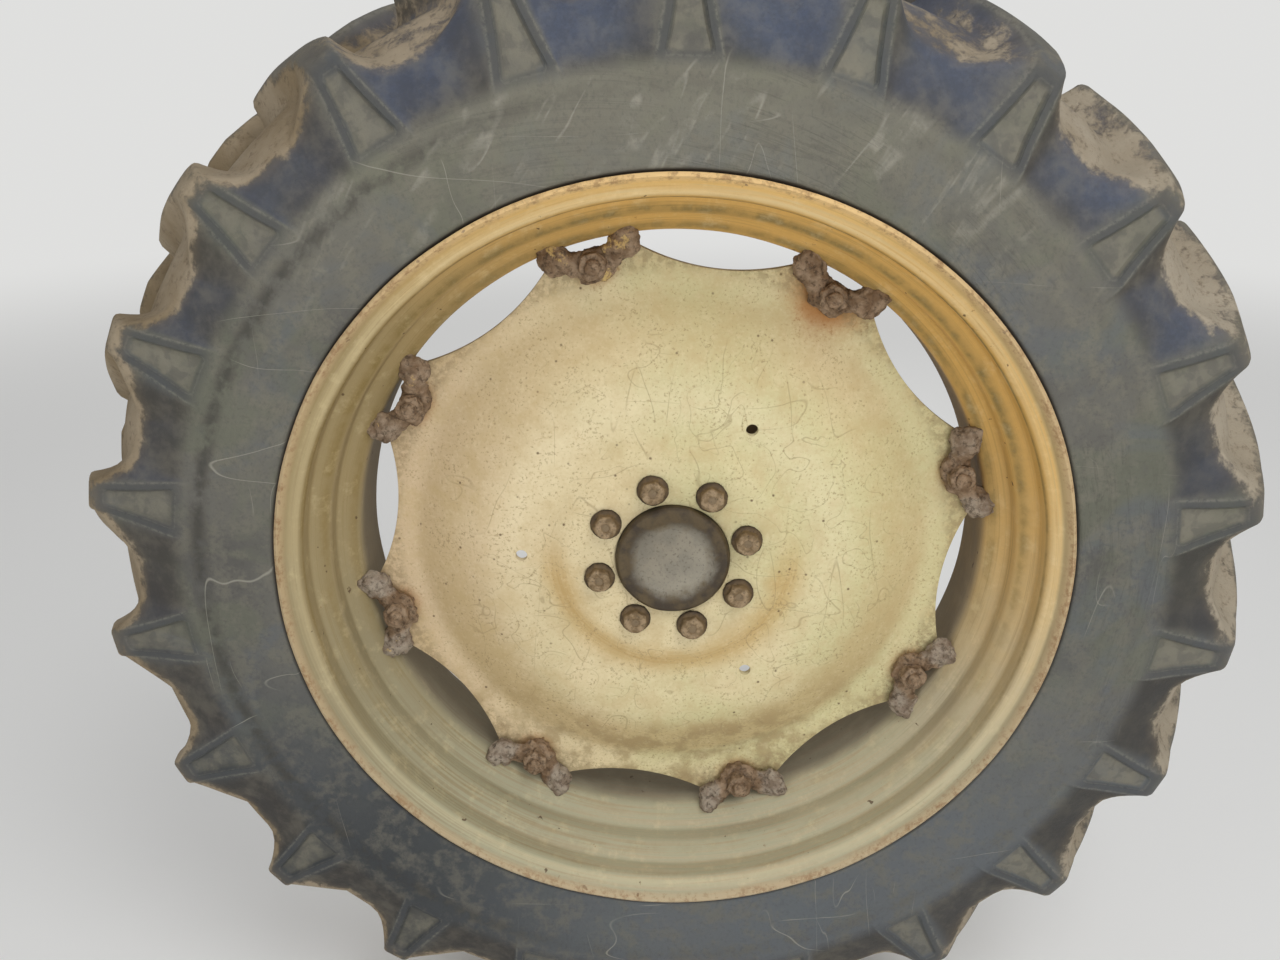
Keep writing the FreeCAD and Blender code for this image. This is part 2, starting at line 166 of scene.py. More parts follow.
def thickened(line: Sequence[Pair], thickness: float) -> list[Pair]:
    """Closed outline of a sheet that lies on the right-hand side of a line.

    Args:
        line: the points of one face of the sheet.
        thickness: the sheet's thickness.

    Returns:
        The line and, back along it, the sheet's other face.
    """
    other: list[Pair] = []
    for index, (a, b) in enumerate(line):
        low = Vector(line[max(index - 1, 0)])
        high = Vector(line[min(index + 1, len(line) - 1)])
        along = (high - low).normalized()
        other.append((a + along.y * thickness, b - along.x * thickness))
    return list(line) + other[::-1]


def gently(places: Sequence[float], values: Sequence[float], at: np.ndarray) -> np.ndarray:
    """Smooth curve through values that never swings past them.

    Args:
        places: where the values stand, rising.
        values: the values.
        at: the places asked for.

    Returns:
        The values of the curve there.
    """
    x, y = np.asarray(places, float), np.asarray(values, float)
    step = np.diff(x)
    slope = np.diff(y) / step
    tangent = np.zeros_like(y)
    same = slope[:-1] * slope[1:] > 0
    tangent[1:-1][same] = 2 * slope[:-1][same] * slope[1:][same] / (slope[:-1][same] + slope[1:][same])
    tangent[0], tangent[-1] = slope[0], slope[-1]
    index = np.clip(np.searchsorted(x, at, side="right") - 1, 0, len(step) - 1)
    t = (at - x[index]) / step[index]
    return ((1 + 2 * t) * (1 - t) ** 2 * y[index] + t * (1 - t) ** 2 * step[index] * tangent[index]
            + t * t * (3 - 2 * t) * y[index + 1] + t * t * (t - 1) * step[index] * tangent[index + 1])


def spun(angle: float) -> Matrix:
    """Turn about the wheel's axis by an angle in degrees, from +X towards +Z."""
    return Matrix.Rotation(-radians(angle), 4, "Y")


# The bench

class Work:
    """A mesh on the bench: started from a primitive, shaped in edit mode, finished with modifiers."""

    def __init__(self, piece: bpy.types.Object) -> None:
        """Takes a mesh object onto the bench."""
        self.piece = piece

    @staticmethod
    def pick(*pieces: bpy.types.Object) -> None:
        """Selects these objects alone and makes the first one active.

        Args:
            pieces: the objects.
        """
        active = bpy.context.view_layer.objects.active
        if active and active.mode != "OBJECT":
            bpy.ops.object.mode_set(mode="OBJECT")
        bpy.ops.object.select_all(action="DESELECT")
        for piece in pieces:
            piece.select_set(True)
        if pieces:
            bpy.context.view_layer.objects.active = pieces[0]

    @classmethod
    def start(cls, name: str, primitive: Primitive, **settings: object) -> "Work":
        """Adds a primitive at its size and place.

        Args:
            name: the new object's name.
            primitive: what is added.
            settings: the operator's settings.

        Returns:
            The work, with its place in its mesh.
        """
        cls.pick()
        getattr(bpy.ops.mesh, f"primitive_{primitive.value}_add")(**settings)
        piece = bpy.context.object
        piece.name = piece.data.name = name
        bpy.ops.object.transform_apply(location=True, rotation=True, scale=True)
        return cls(piece)

    @classmethod
    def outline(cls, name: str, points: Sequence[Vector]) -> "Work":
        """Circle primitive whose vertices are moved to a closed outline.

        Args:
            name: the new object's name.
            points: the outline's points in metres.

        Returns:
            The ring.
        """
        work = cls.start(name, Primitive.CIRCLE, vertices=len(points), radius=1.0, fill_type="NOTHING")
        for vertex, point in zip(work.piece.data.vertices, points):
            vertex.co = point
        return work

    @classmethod
    def turned(cls, name: str, profile: Sequence[Pair], steps: int) -> "Work":
        """Solid of revolution about Y.

        Args:
            name: the new object's name.
            profile: closed outline whose columns are r, y in millimetres.
            steps: faces round the axis.

        Returns:
            The closed solid with its faces outwards.
        """
        work = cls.outline(name, [Vector((r * MM, y * MM, 0)) for r, y in profile])
        work.edit()
        work.select_axis()
        bpy.ops.mesh.delete(type="EDGE")
        bpy.ops.mesh.select_all(action="SELECT")
        bpy.ops.mesh.spin(steps=steps, angle=2 * pi, center=(0, 0, 0), axis=(0, 1, 0))
        return work.tidied()

    @classmethod
    def rod(cls, name: str, sides: int, radius: float, span: Pair, away: float = 0.0) -> "Work":
        """Cylinder along Y.

        Args:
            name: the new object's name.
            sides: faces round it.
            radius: its radius in millimetres.
            span: the lower and the higher Y of its ends in millimetres.
            away: how far it lies from the wheel's axis in millimetres.

        Returns:
            The cylinder.
        """
        low, high = span
        place = (away * MM, (low + high) / 2 * MM, 0)
        return cls.start(name, Primitive.CYLINDER, vertices=sides, radius=radius * MM,
                         depth=(high - low) * MM, location=place, rotation=(pi / 2, 0, 0))

    def edit(self) -> None:
        """Opens the piece in edit mode with everything selected."""
        self.pick(self.piece)
        bpy.ops.object.mode_set(mode="EDIT")
        bpy.ops.mesh.select_all(action="SELECT")

    def select_axis(self) -> None:
        """Selects the edges that lie on the wheel's axis, in edit mode."""
        bpy.ops.mesh.select_mode(type="EDGE")
        bpy.ops.mesh.select_all(action="DESELECT")
        mesh = bmesh.from_edit_mesh(self.piece.data)
        for edge in mesh.edges:
            edge.select = abs((edge.verts[0].co.x + edge.verts[1].co.x) / 2) < ON_AXIS
        mesh.select_flush_mode()
        bmesh.update_edit_mesh(self.piece.data)

    def tidied(self, distance: float = DOUBLES) -> "Work":
        """Merges doubles, turns the faces outwards and leaves edit mode.

        Args:
            distance: how close doubles lie, in metres.

        Returns:
            This work.
        """
        self.edit()
        bpy.ops.mesh.remove_doubles(threshold=distance)
        bpy.ops.mesh.select_all(action="SELECT")
        bpy.ops.mesh.normals_make_consistent(inside=False)
        bpy.ops.object.mode_set(mode="OBJECT")
        return self

    def modified(self, kind: str, **settings: object) -> "Work":
        """Adds a modifier with its settings and applies it.

        Args:
            kind: the modifier's type.
            settings: its settings.

        Returns:
            This work.
        """
        self.pick(self.piece)
        modifier = self.piece.modifiers.new(kind, kind)
        for key, value in settings.items():
            setattr(modifier, key, value)
        bpy.ops.object.modifier_apply(modifier=modifier.name)
        return self

    def cut_by(self, tool: "Work", operation: str = "DIFFERENCE") -> "Work":
        """Boolean with another work, which is used up.

        Args:
            tool: the other work.
            operation: the kind of boolean.

        Returns:
            This work.
        """
        self.modified("BOOLEAN", operation=operation, object=tool.piece, solver="EXACT")
        bpy.data.objects.remove(tool.piece)
        return self

    def bevelled(self, width: float, segments: int = 2, angle: float = 30.0) -> "Work":
        """Rounds the edges that are sharper than an angle, width in millimetres."""
        return self.modified("BEVEL", width=width * MM, segments=segments, limit_method="ANGLE",
                             angle_limit=radians(angle), harden_normals=False)

    def joined(self, others: Sequence["Work"]) -> "Work":
        """Joins other works into this one.

        Args:
            others: the other works.

        Returns:
            This work.
        """
        self.pick(self.piece, *[other.piece for other in others])
        bpy.ops.object.join()
        return self

    def placed(self, matrix: Matrix) -> "Work":
        """Moves the mesh by a matrix."""
        self.piece.data.transform(matrix)
        return self

    def copied(self, angle: float = 0.0) -> "Work":
        """Copy with its own mesh, turned about the wheel's axis by an angle in degrees.

        Args:
            angle: the angle.

        Returns:
            The copy.
        """
        piece = self.piece.copy()
        piece.data = self.piece.data.copy()
        bpy.context.collection.objects.link(piece)
        return Work(piece).placed(spun(angle))

    def repeated(self, count: int, phase: float) -> "Work":
        """Copies evenly spaced round the wheel's axis, joined into one piece."""
        copies = [self.copied(phase + 360.0 * k / count) for k in range(1, count)]
        return self.placed(spun(phase)).joined(copies)

    def points(self, rows: str, value: str) -> np.ndarray:
        """Places or normals of the mesh's vertices, one row for each.

        Args:
            rows: the mesh's collection that is read.
            value: the name of its value.

        Returns:
            The table.
        """
        table = np.empty(len(self.piece.data.vertices) * 3)
        getattr(self.piece.data, rows).foreach_get(value, table)
        return table.reshape(-1, 3)

    def roughened(self, *waves: Triple) -> "Work":
        """Moves the surface in and out along its normals.

        Args:
            waves: one noise after another, each a height and a size in millimetres and a seed.

        Returns:
            This work.
        """
        for height, size, seed in waves:
            shift = Vector(SEED_STRIDE) * seed
            places, normals = self.points("vertices", "co"), self.points("vertex_normals", "vector")
            heights = np.array([noise.noise(Vector(place) / (size * MM) + shift) for place in places])
            places += normals * (heights * height * MM)[:, None]
            self.piece.data.vertices.foreach_set("co", places.ravel())
            self.piece.data.update()
        return self

    def noted(self, name: str, values: np.ndarray) -> "Work":
        """Keeps a number on each vertex, for a finish to read."""
        self.piece.data.attributes.new(name, "FLOAT", "POINT").data.foreach_set("value", values)
        return self

    def smooth(self, angle: float = 35.0) -> "Work":
        """Smooth shading with edges sharper than an angle kept.

        Args:
            angle: the angle in degrees.

        Returns:
            This work.
        """
        self.pick(self.piece)
        bpy.ops.object.shade_smooth_by_angle(angle=radians(angle))
        return self

    def handed_over(self, finish: "Finish", body: Body, slot: str, *nodes: str) -> bpy.types.Object:
        """Dresses the piece, lets it ride on its body and stand for its nodes.

        Args:
            finish: the surface finish.
            body: the body that carries the piece.
            slot: the record's material slot; not used.
            nodes: the nodes that the piece stands for.

        Returns:
            The finished piece.
        """
        piece = self.piece
        piece.data.materials.clear()
        piece.data.materials.append(finish.material())
        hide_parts(*nodes)
        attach(piece, body.value)
        piece.data.calc_loop_triangles()
        triangles = len(piece.data.loop_triangles)
        LOG.info("%s: %d triangles on %s", piece.name, triangles, body.value)
        return piece


# Shader arithmetic

def operator(operation: str, reflected: bool = False) -> Callable[["Value", "Value | float"], "Value"]:
    """Method that puts a Python operator into a Math node.

    Args:
        operation: the Math node's operation.
        reflected: whether the other value comes first.

    Returns:
        The method.
    """
    def method(value: "Value", other: "Value | float") -> "Value":
        """The operation on two values."""
        first, second = (other, value) if reflected else (value, other)
        return value.math(operation, first, second)
    return method


class Value:
    """A socket that takes part in arithmetic, each operation adding a Math node."""

    def __init__(self, recipe: "Recipe", socket: bpy.types.NodeSocket) -> None:
        """Wraps an output socket of a recipe."""
        self.recipe = recipe
        self.socket = socket

    def math(self, operation: str, *values: "Value | float", clamp: bool = False) -> "Value":
        """Math node on these values."""
        settings = {"operation": operation, "use_clamp": clamp}
        return self.recipe.node("ShaderNodeMath", settings, dict(enumerate(values)))

    __add__, __radd__ = operator("ADD"), operator("ADD", reflected=True)
    __sub__, __rsub__ = operator("SUBTRACT"), operator("SUBTRACT", reflected=True)
    __mul__, __rmul__ = operator("MULTIPLY"), operator("MULTIPLY", reflected=True)
    __truediv__ = operator("DIVIDE")

    def __neg__(self) -> "Value":
        """The value with its sign changed."""
        return 0.0 - self

    def __abs__(self) -> "Value":
        """Distance from zero."""
        return self.math("ABSOLUTE", self)

    def root(self) -> "Value":
        """Square root."""
        return self.math("SQRT", self)

    def capped(self) -> "Value":
        """The value kept between 0 and 1."""
        return self.math("ADD", self, 0.0, clamp=True)

    def swing(self, reach: float) -> "Value":
        """A noise made to swing about zero."""
        return (self - 0.5) * reach

    def largest(self, other: "Value | float") -> "Value":
        """The larger of two values."""
        return self.math("MAXIMUM", self, other)

    def rise(self, low: float, high: float) -> "Value":
        """Smooth step from 0 at low to 1 at high."""
        settings = {"interpolation_type": "SMOOTHSTEP"}
        return self.recipe.node("ShaderNodeMapRange", settings, {"Value": self, 1: low, 2: high})

    def line(self, place: float, width: float) -> "Value":
        """Thin ridge of 1 where the value equals a place."""
        return 1.0 - abs(self - place).rise(0.0, width)


class Recipe:
    """A material under construction."""

    def __init__(self, name: str) -> None:
        """Starts an empty material with a Principled shader.

        Args:
            name: the material's name.
        """
        self.colour: Value | Colour = (0.0, 0.0, 0.0, 1.0)
        self.material = bpy.data.materials.new(name)
        self.material.use_nodes = True
        self.tree = self.material.node_tree
        self.shader = self.tree.nodes["Principled BSDF"]
        place = self.tree.nodes.new("ShaderNodeTexCoord").outputs["Object"]
        self.place = Value(self, place)
        parts = [self.node("ShaderNodeSeparateXYZ", {}, {0: self.place}, axis) for axis in range(3)]
        self.x, self.y, self.z = parts

    def connect(self, socket: bpy.types.NodeSocket, value: object) -> None:
        """Sets a socket to a number or colour, or links it.

        Args:
            socket: the input socket.
            value: number, colour or value.
        """
        if isinstance(value, Value):
            self.tree.links.new(value.socket, socket)
        else:
            socket.default_value = value

    def node(self, kind: str, settings: dict, values: dict, output: int | str = 0) -> Value:
        """Adds a node.

        Args:
            kind: the node's type.
            settings: its settings, set first.
            values: numbers, colours or links for its sockets.
            output: the socket that is wanted.

        Returns:
            The wrapped output socket.
        """
        node = self.tree.nodes.new(kind)
        for key, setting in settings.items():
            setattr(node, key, setting)
        for key, value in values.items():
            self.connect(node.inputs[key], value)
        return Value(self, node.outputs[output])

    def radius(self) -> Value:
        """Distance from the wheel's axis in metres."""
        return (self.x * self.x + self.z * self.z).root()

    def attribute(self, name: str) -> Value:
        """A number kept on the mesh's vertices."""
        return self.node("ShaderNodeAttribute", {"attribute_name": name}, {}, "Fac")

    def stretched(self, x: float, y: float, z: float) -> Value:
        """Object coordinates scaled along the axes."""
        settings = {"operation": "MULTIPLY"}
        return self.node("ShaderNodeVectorMath", settings, {0: self.place, 1: (x, y, z)})

    def combined(self, x: Value | float, y: Value | float, z: Value | float) -> Value:
        """Vector made of three values."""
        return self.node("ShaderNodeCombineXYZ", {}, {0: x, 1: y, 2: z})

    def noise(self, scale: float, detail: float = 4.0, rough: float = 0.55, twist: float = 0.0,
              place: Value | None = None) -> Value:
        """Cloudy noise between 0 and 1.

        Args:
            scale: its scale.
            detail: its detail.
            rough: its roughness.
            twist: its distortion.
            place: coordinates that take the place of the object's.

        Returns:
            The noise.
        """
        values = {"Vector": place or self.place, "Scale": scale, "Detail": detail, "Roughness": rough,
                  "Distortion": twist}
        return self.node("ShaderNodeTexNoise", {}, values)

    def cells(self, scale: float) -> Value:
        """Distance to the middle of scattered cells."""
        return self.node("ShaderNodeTexVoronoi", {}, {"Vector": self.place, "Scale": scale})

    def mix(self, factor: Value | float, first: "Value | Colour", second: "Value | Colour") -> Value:
        """Blend of two colours."""
        return self.node("ShaderNodeMix", {"data_type": "RGBA"}, {0: factor, 6: first, 7: second}, 2)

    def under(self, base: "Value | Colour", *coats: tuple[Value | float, "Value | Colour"]) -> Value:
        """A colour under coats, each a cover from 0 to 1 and its colour.

        Args:
            base: the colour.
            coats: covers and their colours, the lowest first.

        Returns:
            The colour that is seen.
        """
        for cover, colour in coats:
            base = self.mix(cover, base, colour)
        return base

    def coat(self, cover: Value | float, colour: "Value | Colour") -> None:
        """Lays one more coat over the finish."""
        self.colour = self.under(self.colour, (cover, colour))

    def near(self, angle: float, radius: float, reach: float, ragged: Value) -> Value:
        """Round patch about a point of the wheel.

        Args:
            angle: the point's angle in degrees.
            radius: the point's distance from the axis in metres.
            reach: where the patch ends in metres.
            ragged: noise that makes its edge uneven.

        Returns:
            A mask of 1 in the middle.
        """
        across = self.x - radius * cos(radians(angle))
        up = self.z - radius * sin(radians(angle))
        distance = (across * across + up * up).root() + ragged.swing(reach)
        return 1.0 - distance.rise(reach * 0.25, reach)

    def done(self, roughness: Value | float, height: Value | None = None, depth: float = 0.001,
             specular: float = 0.5) -> bpy.types.Material:
        """Connects the shader, with the coats laid so far as its base colour.

        Args:
            roughness: roughness.
            height: relief between 0 and 1.
            depth: the relief's depth in metres.
            specular: strength of the reflection.

        Returns:
            The finished material.
        """
        self.connect(self.shader.inputs["Base Color"], self.colour)
        self.connect(self.shader.inputs["Roughness"], roughness)
        if height:
            values = {"Strength": 1.0, "Distance": depth, "Height": height}
            self.connect(self.shader.inputs["Normal"], self.node("ShaderNodeBump", {}, values))
        self.connect(self.shader.inputs["Specular IOR Level"], specular)
        return self.material


@dataclass(frozen=True)
class Finish:
    """A surface finish, made into a material on demand."""

    name: str

    def material(self) -> bpy.types.Material:
        """The material, made once."""
        return bpy.data.materials.get(self.name) or self.recipe(Recipe(self.name))

    def recipe(self, r: Recipe) -> bpy.types.Material:
        """Builds the material's nodes.

        Args:
            r: the recipe.

        Returns:
            The material.
        """
        raise NotImplementedError


@dataclass(frozen=True)
class FieldRubber(Finish):
    """Weathered tyre rubber with dust, cracks, scuffs and dried mud in the tread, under painted light,
    shade and sky reflection.
    """

    name: str = "field_rubber"
    grey: Colour = paint(101, 99, 92)
    dark: Colour = paint(74, 73, 71)
    greenish: Colour = paint(104, 106, 88)
    # Cool grey, for random patches and for the painted shade low down
    cool: Colour = paint(90, 95, 100)
    # Painted shade low on the left
    murky: Colour = paint(44, 47, 49)
    # Painted light high up on the sidewall
    sunned: Colour = paint(130, 127, 110)
    # Painted reflection of the sky, blue in the tread's hollows that face up
    blue: Colour = paint(70, 79, 99)
    # Painted shade in the valleys between the bars
    hollow: Colour = paint(60, 56, 52)
    shade: Colour = paint(48, 46, 43)
    land: Colour = paint(66, 68, 70)
    dusty: Colour = paint(122, 118, 104)
    # Painted highlight on the bars' edges and the pockets' rims
    edge: Colour = paint(144, 141, 128)
    scuff: Colour = paint(156, 153, 140)
    mud: Colour = paint(140, 123, 96)
    pale_mud: Colour = paint(172, 158, 136)
    chalk: Colour = paint(186, 178, 162)
    wet_mud: Colour = paint(100, 84, 66)
    # Painted shade where the tyre meets the rim
    groove: Colour = paint(58, 52, 46)
    bead_r: float = 0.509
    step_r: float = 0.612
    band_r: float = 0.600

    def recipe(self, r: Recipe) -> bpy.types.Material:
        """Rubber with painted light and shade first, then the painted sky reflection and shade in the
        valleys, dust, painted highlights, scuffs, cracks and mud over it.

        Args:
            r: the recipe.

        Returns:
            The material.
        """
        radius = r.radius()
        lift, pocket, mud_zone, sky = (r.attribute(name) for name in ("lift", "pocket", "mud", "sky"))
        cloud = r.noise(22.0, 6.0, 0.62)
        blotch = r.noise(58.0, 3.0, 0.55, 0.4)
        fine = r.noise(170.0, 5.0, 0.72)
        grain = r.noise(700.0, 2.0, 0.6)
        tread = radius.rise(self.step_r, self.step_r + 0.03)
        wall = 1.0 - tread
        self.weather(r, cloud, blotch, fine, wall)
        valley = tread * (1.0 - lift.rise(0.5, 1.0))
        soft = r.noise(7.0, 2.0)
        # Painted sky reflection where the valleys face up, weaker low down and on the left
        sky_reflection = (sky + soft.swing(0.5)).rise(-0.1, 0.45) * (r.z + 0.15).rise(-0.35, 0.5)
        sky_reflection = sky_reflection * (0.5 + 0.5 * r.x.rise(-0.65, -0.1))
        # The valleys: painted shade and sky reflection, dusty and darker patches, and more painted shade
        # low on the right
        bottom = r.under(
            r.mix(sky_reflection, self.hollow, self.blue),
            ((cloud * 0.7 + blotch * 0.3).rise(0.4, 0.66) * 0.3, self.dusty),
            ((1.0 - cloud * 0.6 - fine * 0.4).rise(0.45, 0.62) * 0.3, self.shade),
            (r.x.rise(0.35, 0.6) * (0.35 - r.z).rise(0.0, 0.3) * 0.6, self.shade))
        r.coat(valley * (0.75 + 0.25 * soft), bottom)
        end_face = tread * (1.0 - radius.rise(0.726, 0.745)) * lift.rise(0.7, 1.0)
        r.coat(end_face * (1.0 - pocket.rise(0.1, 0.8)) * (0.5 + 0.4 * cloud), self.land)
        floor = pocket.rise(0.5, 1.0)
        # Dust on the pockets' floors, thinner at the lower left as painted shade
        floor_dust_and_shade = (1.2 * cloud + 0.9 * (soft - 0.5) - (0.1 - r.x - r.z).rise(0.3, 1.0) * 0.3).capped()
        r.coat(floor * floor_dust_and_shade, self.dusty)
        r.coat(floor * (1.0 - blotch).rise(0.45, 0.62) * 0.35, self.dark)
        # Painted highlight along the bars' rounded edges and round the pockets' rims, broken up by noise
        frame = pocket.line(0.2, 0.18) * 0.35 + lift.line(0.88, 0.1) * tread * 0.6
        r.coat((frame * fine.rise(0.35, 0.6)).capped() * 0.5, self.edge)
        band = radius.line(self.band_r, 0.018) * (cloud * 0.6 + blotch * 0.4).rise(0.38, 0.58)
        r.coat(band * (0.15 + 0.55 * (-r.x).rise(0.0, 0.5)), self.shade)
        r.coat(self.scratches(r) * wall * 0.6, self.scuff)
        cracks = self.cracks(r, radius) * wall
        r.coat(cracks * 0.16, self.shade)
        # Painted shade in the crease where the tyre meets the rim
        bead = 1.0 - radius.rise(self.bead_r, self.bead_r + 0.004)
        r.coat(bead * 0.9, self.groove)
        ragged = cloud.swing(0.9) + blotch.swing(0.5) + fine.swing(0.3)
        left = (-r.x).rise(0.0, 0.6) * mud_zone.rise(0.2, 0.4) * 0.14
        thin = r.z.rise(0.5, 0.72) * 0.34
        cover = mud_zone + left - thin + ragged
        mud = cover.rise(0.4, 0.64)
        dirt = r.under(
            self.mud,
            (r.noise(11.0, 4.0).rise(0.35, 0.65), self.pale_mud),
            ((r.x + cloud.swing(0.4)).rise(0.1, 0.6) * 0.6, self.chalk),
            ((1.0 - fine * 0.6 - blotch * 0.4).rise(0.5, 0.66) * 0.65, self.wet_mud))
        r.coat(mud * 0.9, dirt)
        film = (mud_zone + left - thin + cloud.swing(0.5)).rise(0.15, 0.6) * 0.25
        r.coat(film, self.mud)
        roughness = (0.62 + 0.2 * fine + 0.3 * mud).capped()
        height = cloud * 0.3 + blotch * 0.3 + fine * 0.35 + grain * 0.08 - cracks * 0.08
        height = height + mud * (0.3 + fine * 0.5)
        return r.done(roughness, height, 0.0024, specular=0.35)

    def weather(self, r: Recipe, cloud: Value, blotch: Value, fine: Value, wall: Value) -> None:
        """Rubber's colour, with painted shade that makes it cooler and darker low down, painted light that
        makes it lighter high up, and dust that grows towards the top.

        Args:
            r: the recipe.
            cloud: broad noise.
            blotch: noise of the size of a thumb.
            fine: fine noise.
            wall: where the plain sidewall is.
        """
        r.colour = r.mix(r.noise(4.5, 3.0).rise(0.4, 0.64) * 0.6, self.grey, self.dark)
        r.coat(r.noise(8.5, 3.0, 0.6, 0.6).rise(0.45, 0.62) * 0.5, self.greenish)
        r.coat(r.noise(7.0, 3.0, 0.6, 0.9).rise(0.5, 0.66) * 0.5, self.cool)
        # Painted shade: cooler and darker low down, darkest low on the left
        low = (-r.z + cloud.swing(0.2)).rise(0.0, 0.45)
        r.coat(low * 0.75, self.cool)
        low_left = low * (-r.x).rise(0.0, 0.4)
        r.coat(low_left * 0.8, self.murky)
        # Painted light: lighter high up on the sidewall
        high = (r.z + cloud.swing(0.2)).rise(0.3, 0.62)
        r.coat(high * wall * 0.5, self.sunned)
        r.coat((blotch * 0.4 + cloud * 0.6).rise(0.46, 0.64) * 0.45, self.dark)
        dust = (cloud * 0.55 + blotch * 0.3 + fine * 0.15).rise(0.46, 0.6)
        r.coat(dust * (0.35 + 0.25 * r.z.rise(-0.5, 0.65)), self.dusty)
        along, across = r.x * 0.55 + r.z * 0.83, r.x * 0.83 - r.z * 0.55
        runs = r.noise(1.0, 3.0, 0.6, 0.5, r.combined(across * 14.0, 0.0, along * 3.0)).line(0.5, 0.035)
        r.coat(runs * high * wall * cloud.rise(0.42, 0.6) * 0.55, self.scuff)
        r.coat((1.0 - fine).rise(0.5, 0.66) * 0.16, self.shade)

    @staticmethod
    def scratches(r: Recipe) -> Value:
        """Long thin marks in two directions, in places only.

        Args:
            r: the recipe.

        Returns:
            Their mask.
        """
        steep = r.noise(3.4, 1.0, 0.4, 0.0, r.stretched(2.6, 1.0, 0.5)).line(0.5, 0.0022)
        flat = r.noise(4.1, 1.0, 0.4, 0.0, r.stretched(0.5, 1.0, 2.4)).line(0.47, 0.0022)
        short = r.noise(9.0, 1.5, 0.5, 0.0, r.stretched(1.8, 1.0, 0.5)).line(0.52, 0.004)
        here, there = r.noise(5.0, 2.0).rise(0.5, 0.6), r.noise(6.5, 2.0).rise(0.52, 0.6)
        return (steep * here + flat * there + short * here * there).capped()

    @staticmethod
    def cracks(r: Recipe, radius: Value) -> Value:
        """Wrinkles that run round the wheel, strongest high on the right.

        Args:
            r: the recipe.
            radius: distance from the wheel's axis.

        Returns:
            Their mask.
        """
        pattern = r.combined(radius * 120.0, r.y * 40.0, 0.0)
        values = {0: r.place, 1: (20.0, 20.0, 20.0), 2: pattern}
        turning = r.node("ShaderNodeVectorMath", {"operation": "MULTIPLY_ADD"}, values)
        wrinkles = r.noise(0.8, 3.0, 0.6, 0.6, turning).line(0.47, 0.05)
        here = r.noise(6.0, 3.0).rise(0.42, 0.6) * (0.35 + 0.65 * (r.x + r.z).rise(0.0, 0.6))
        return wrinkles * here


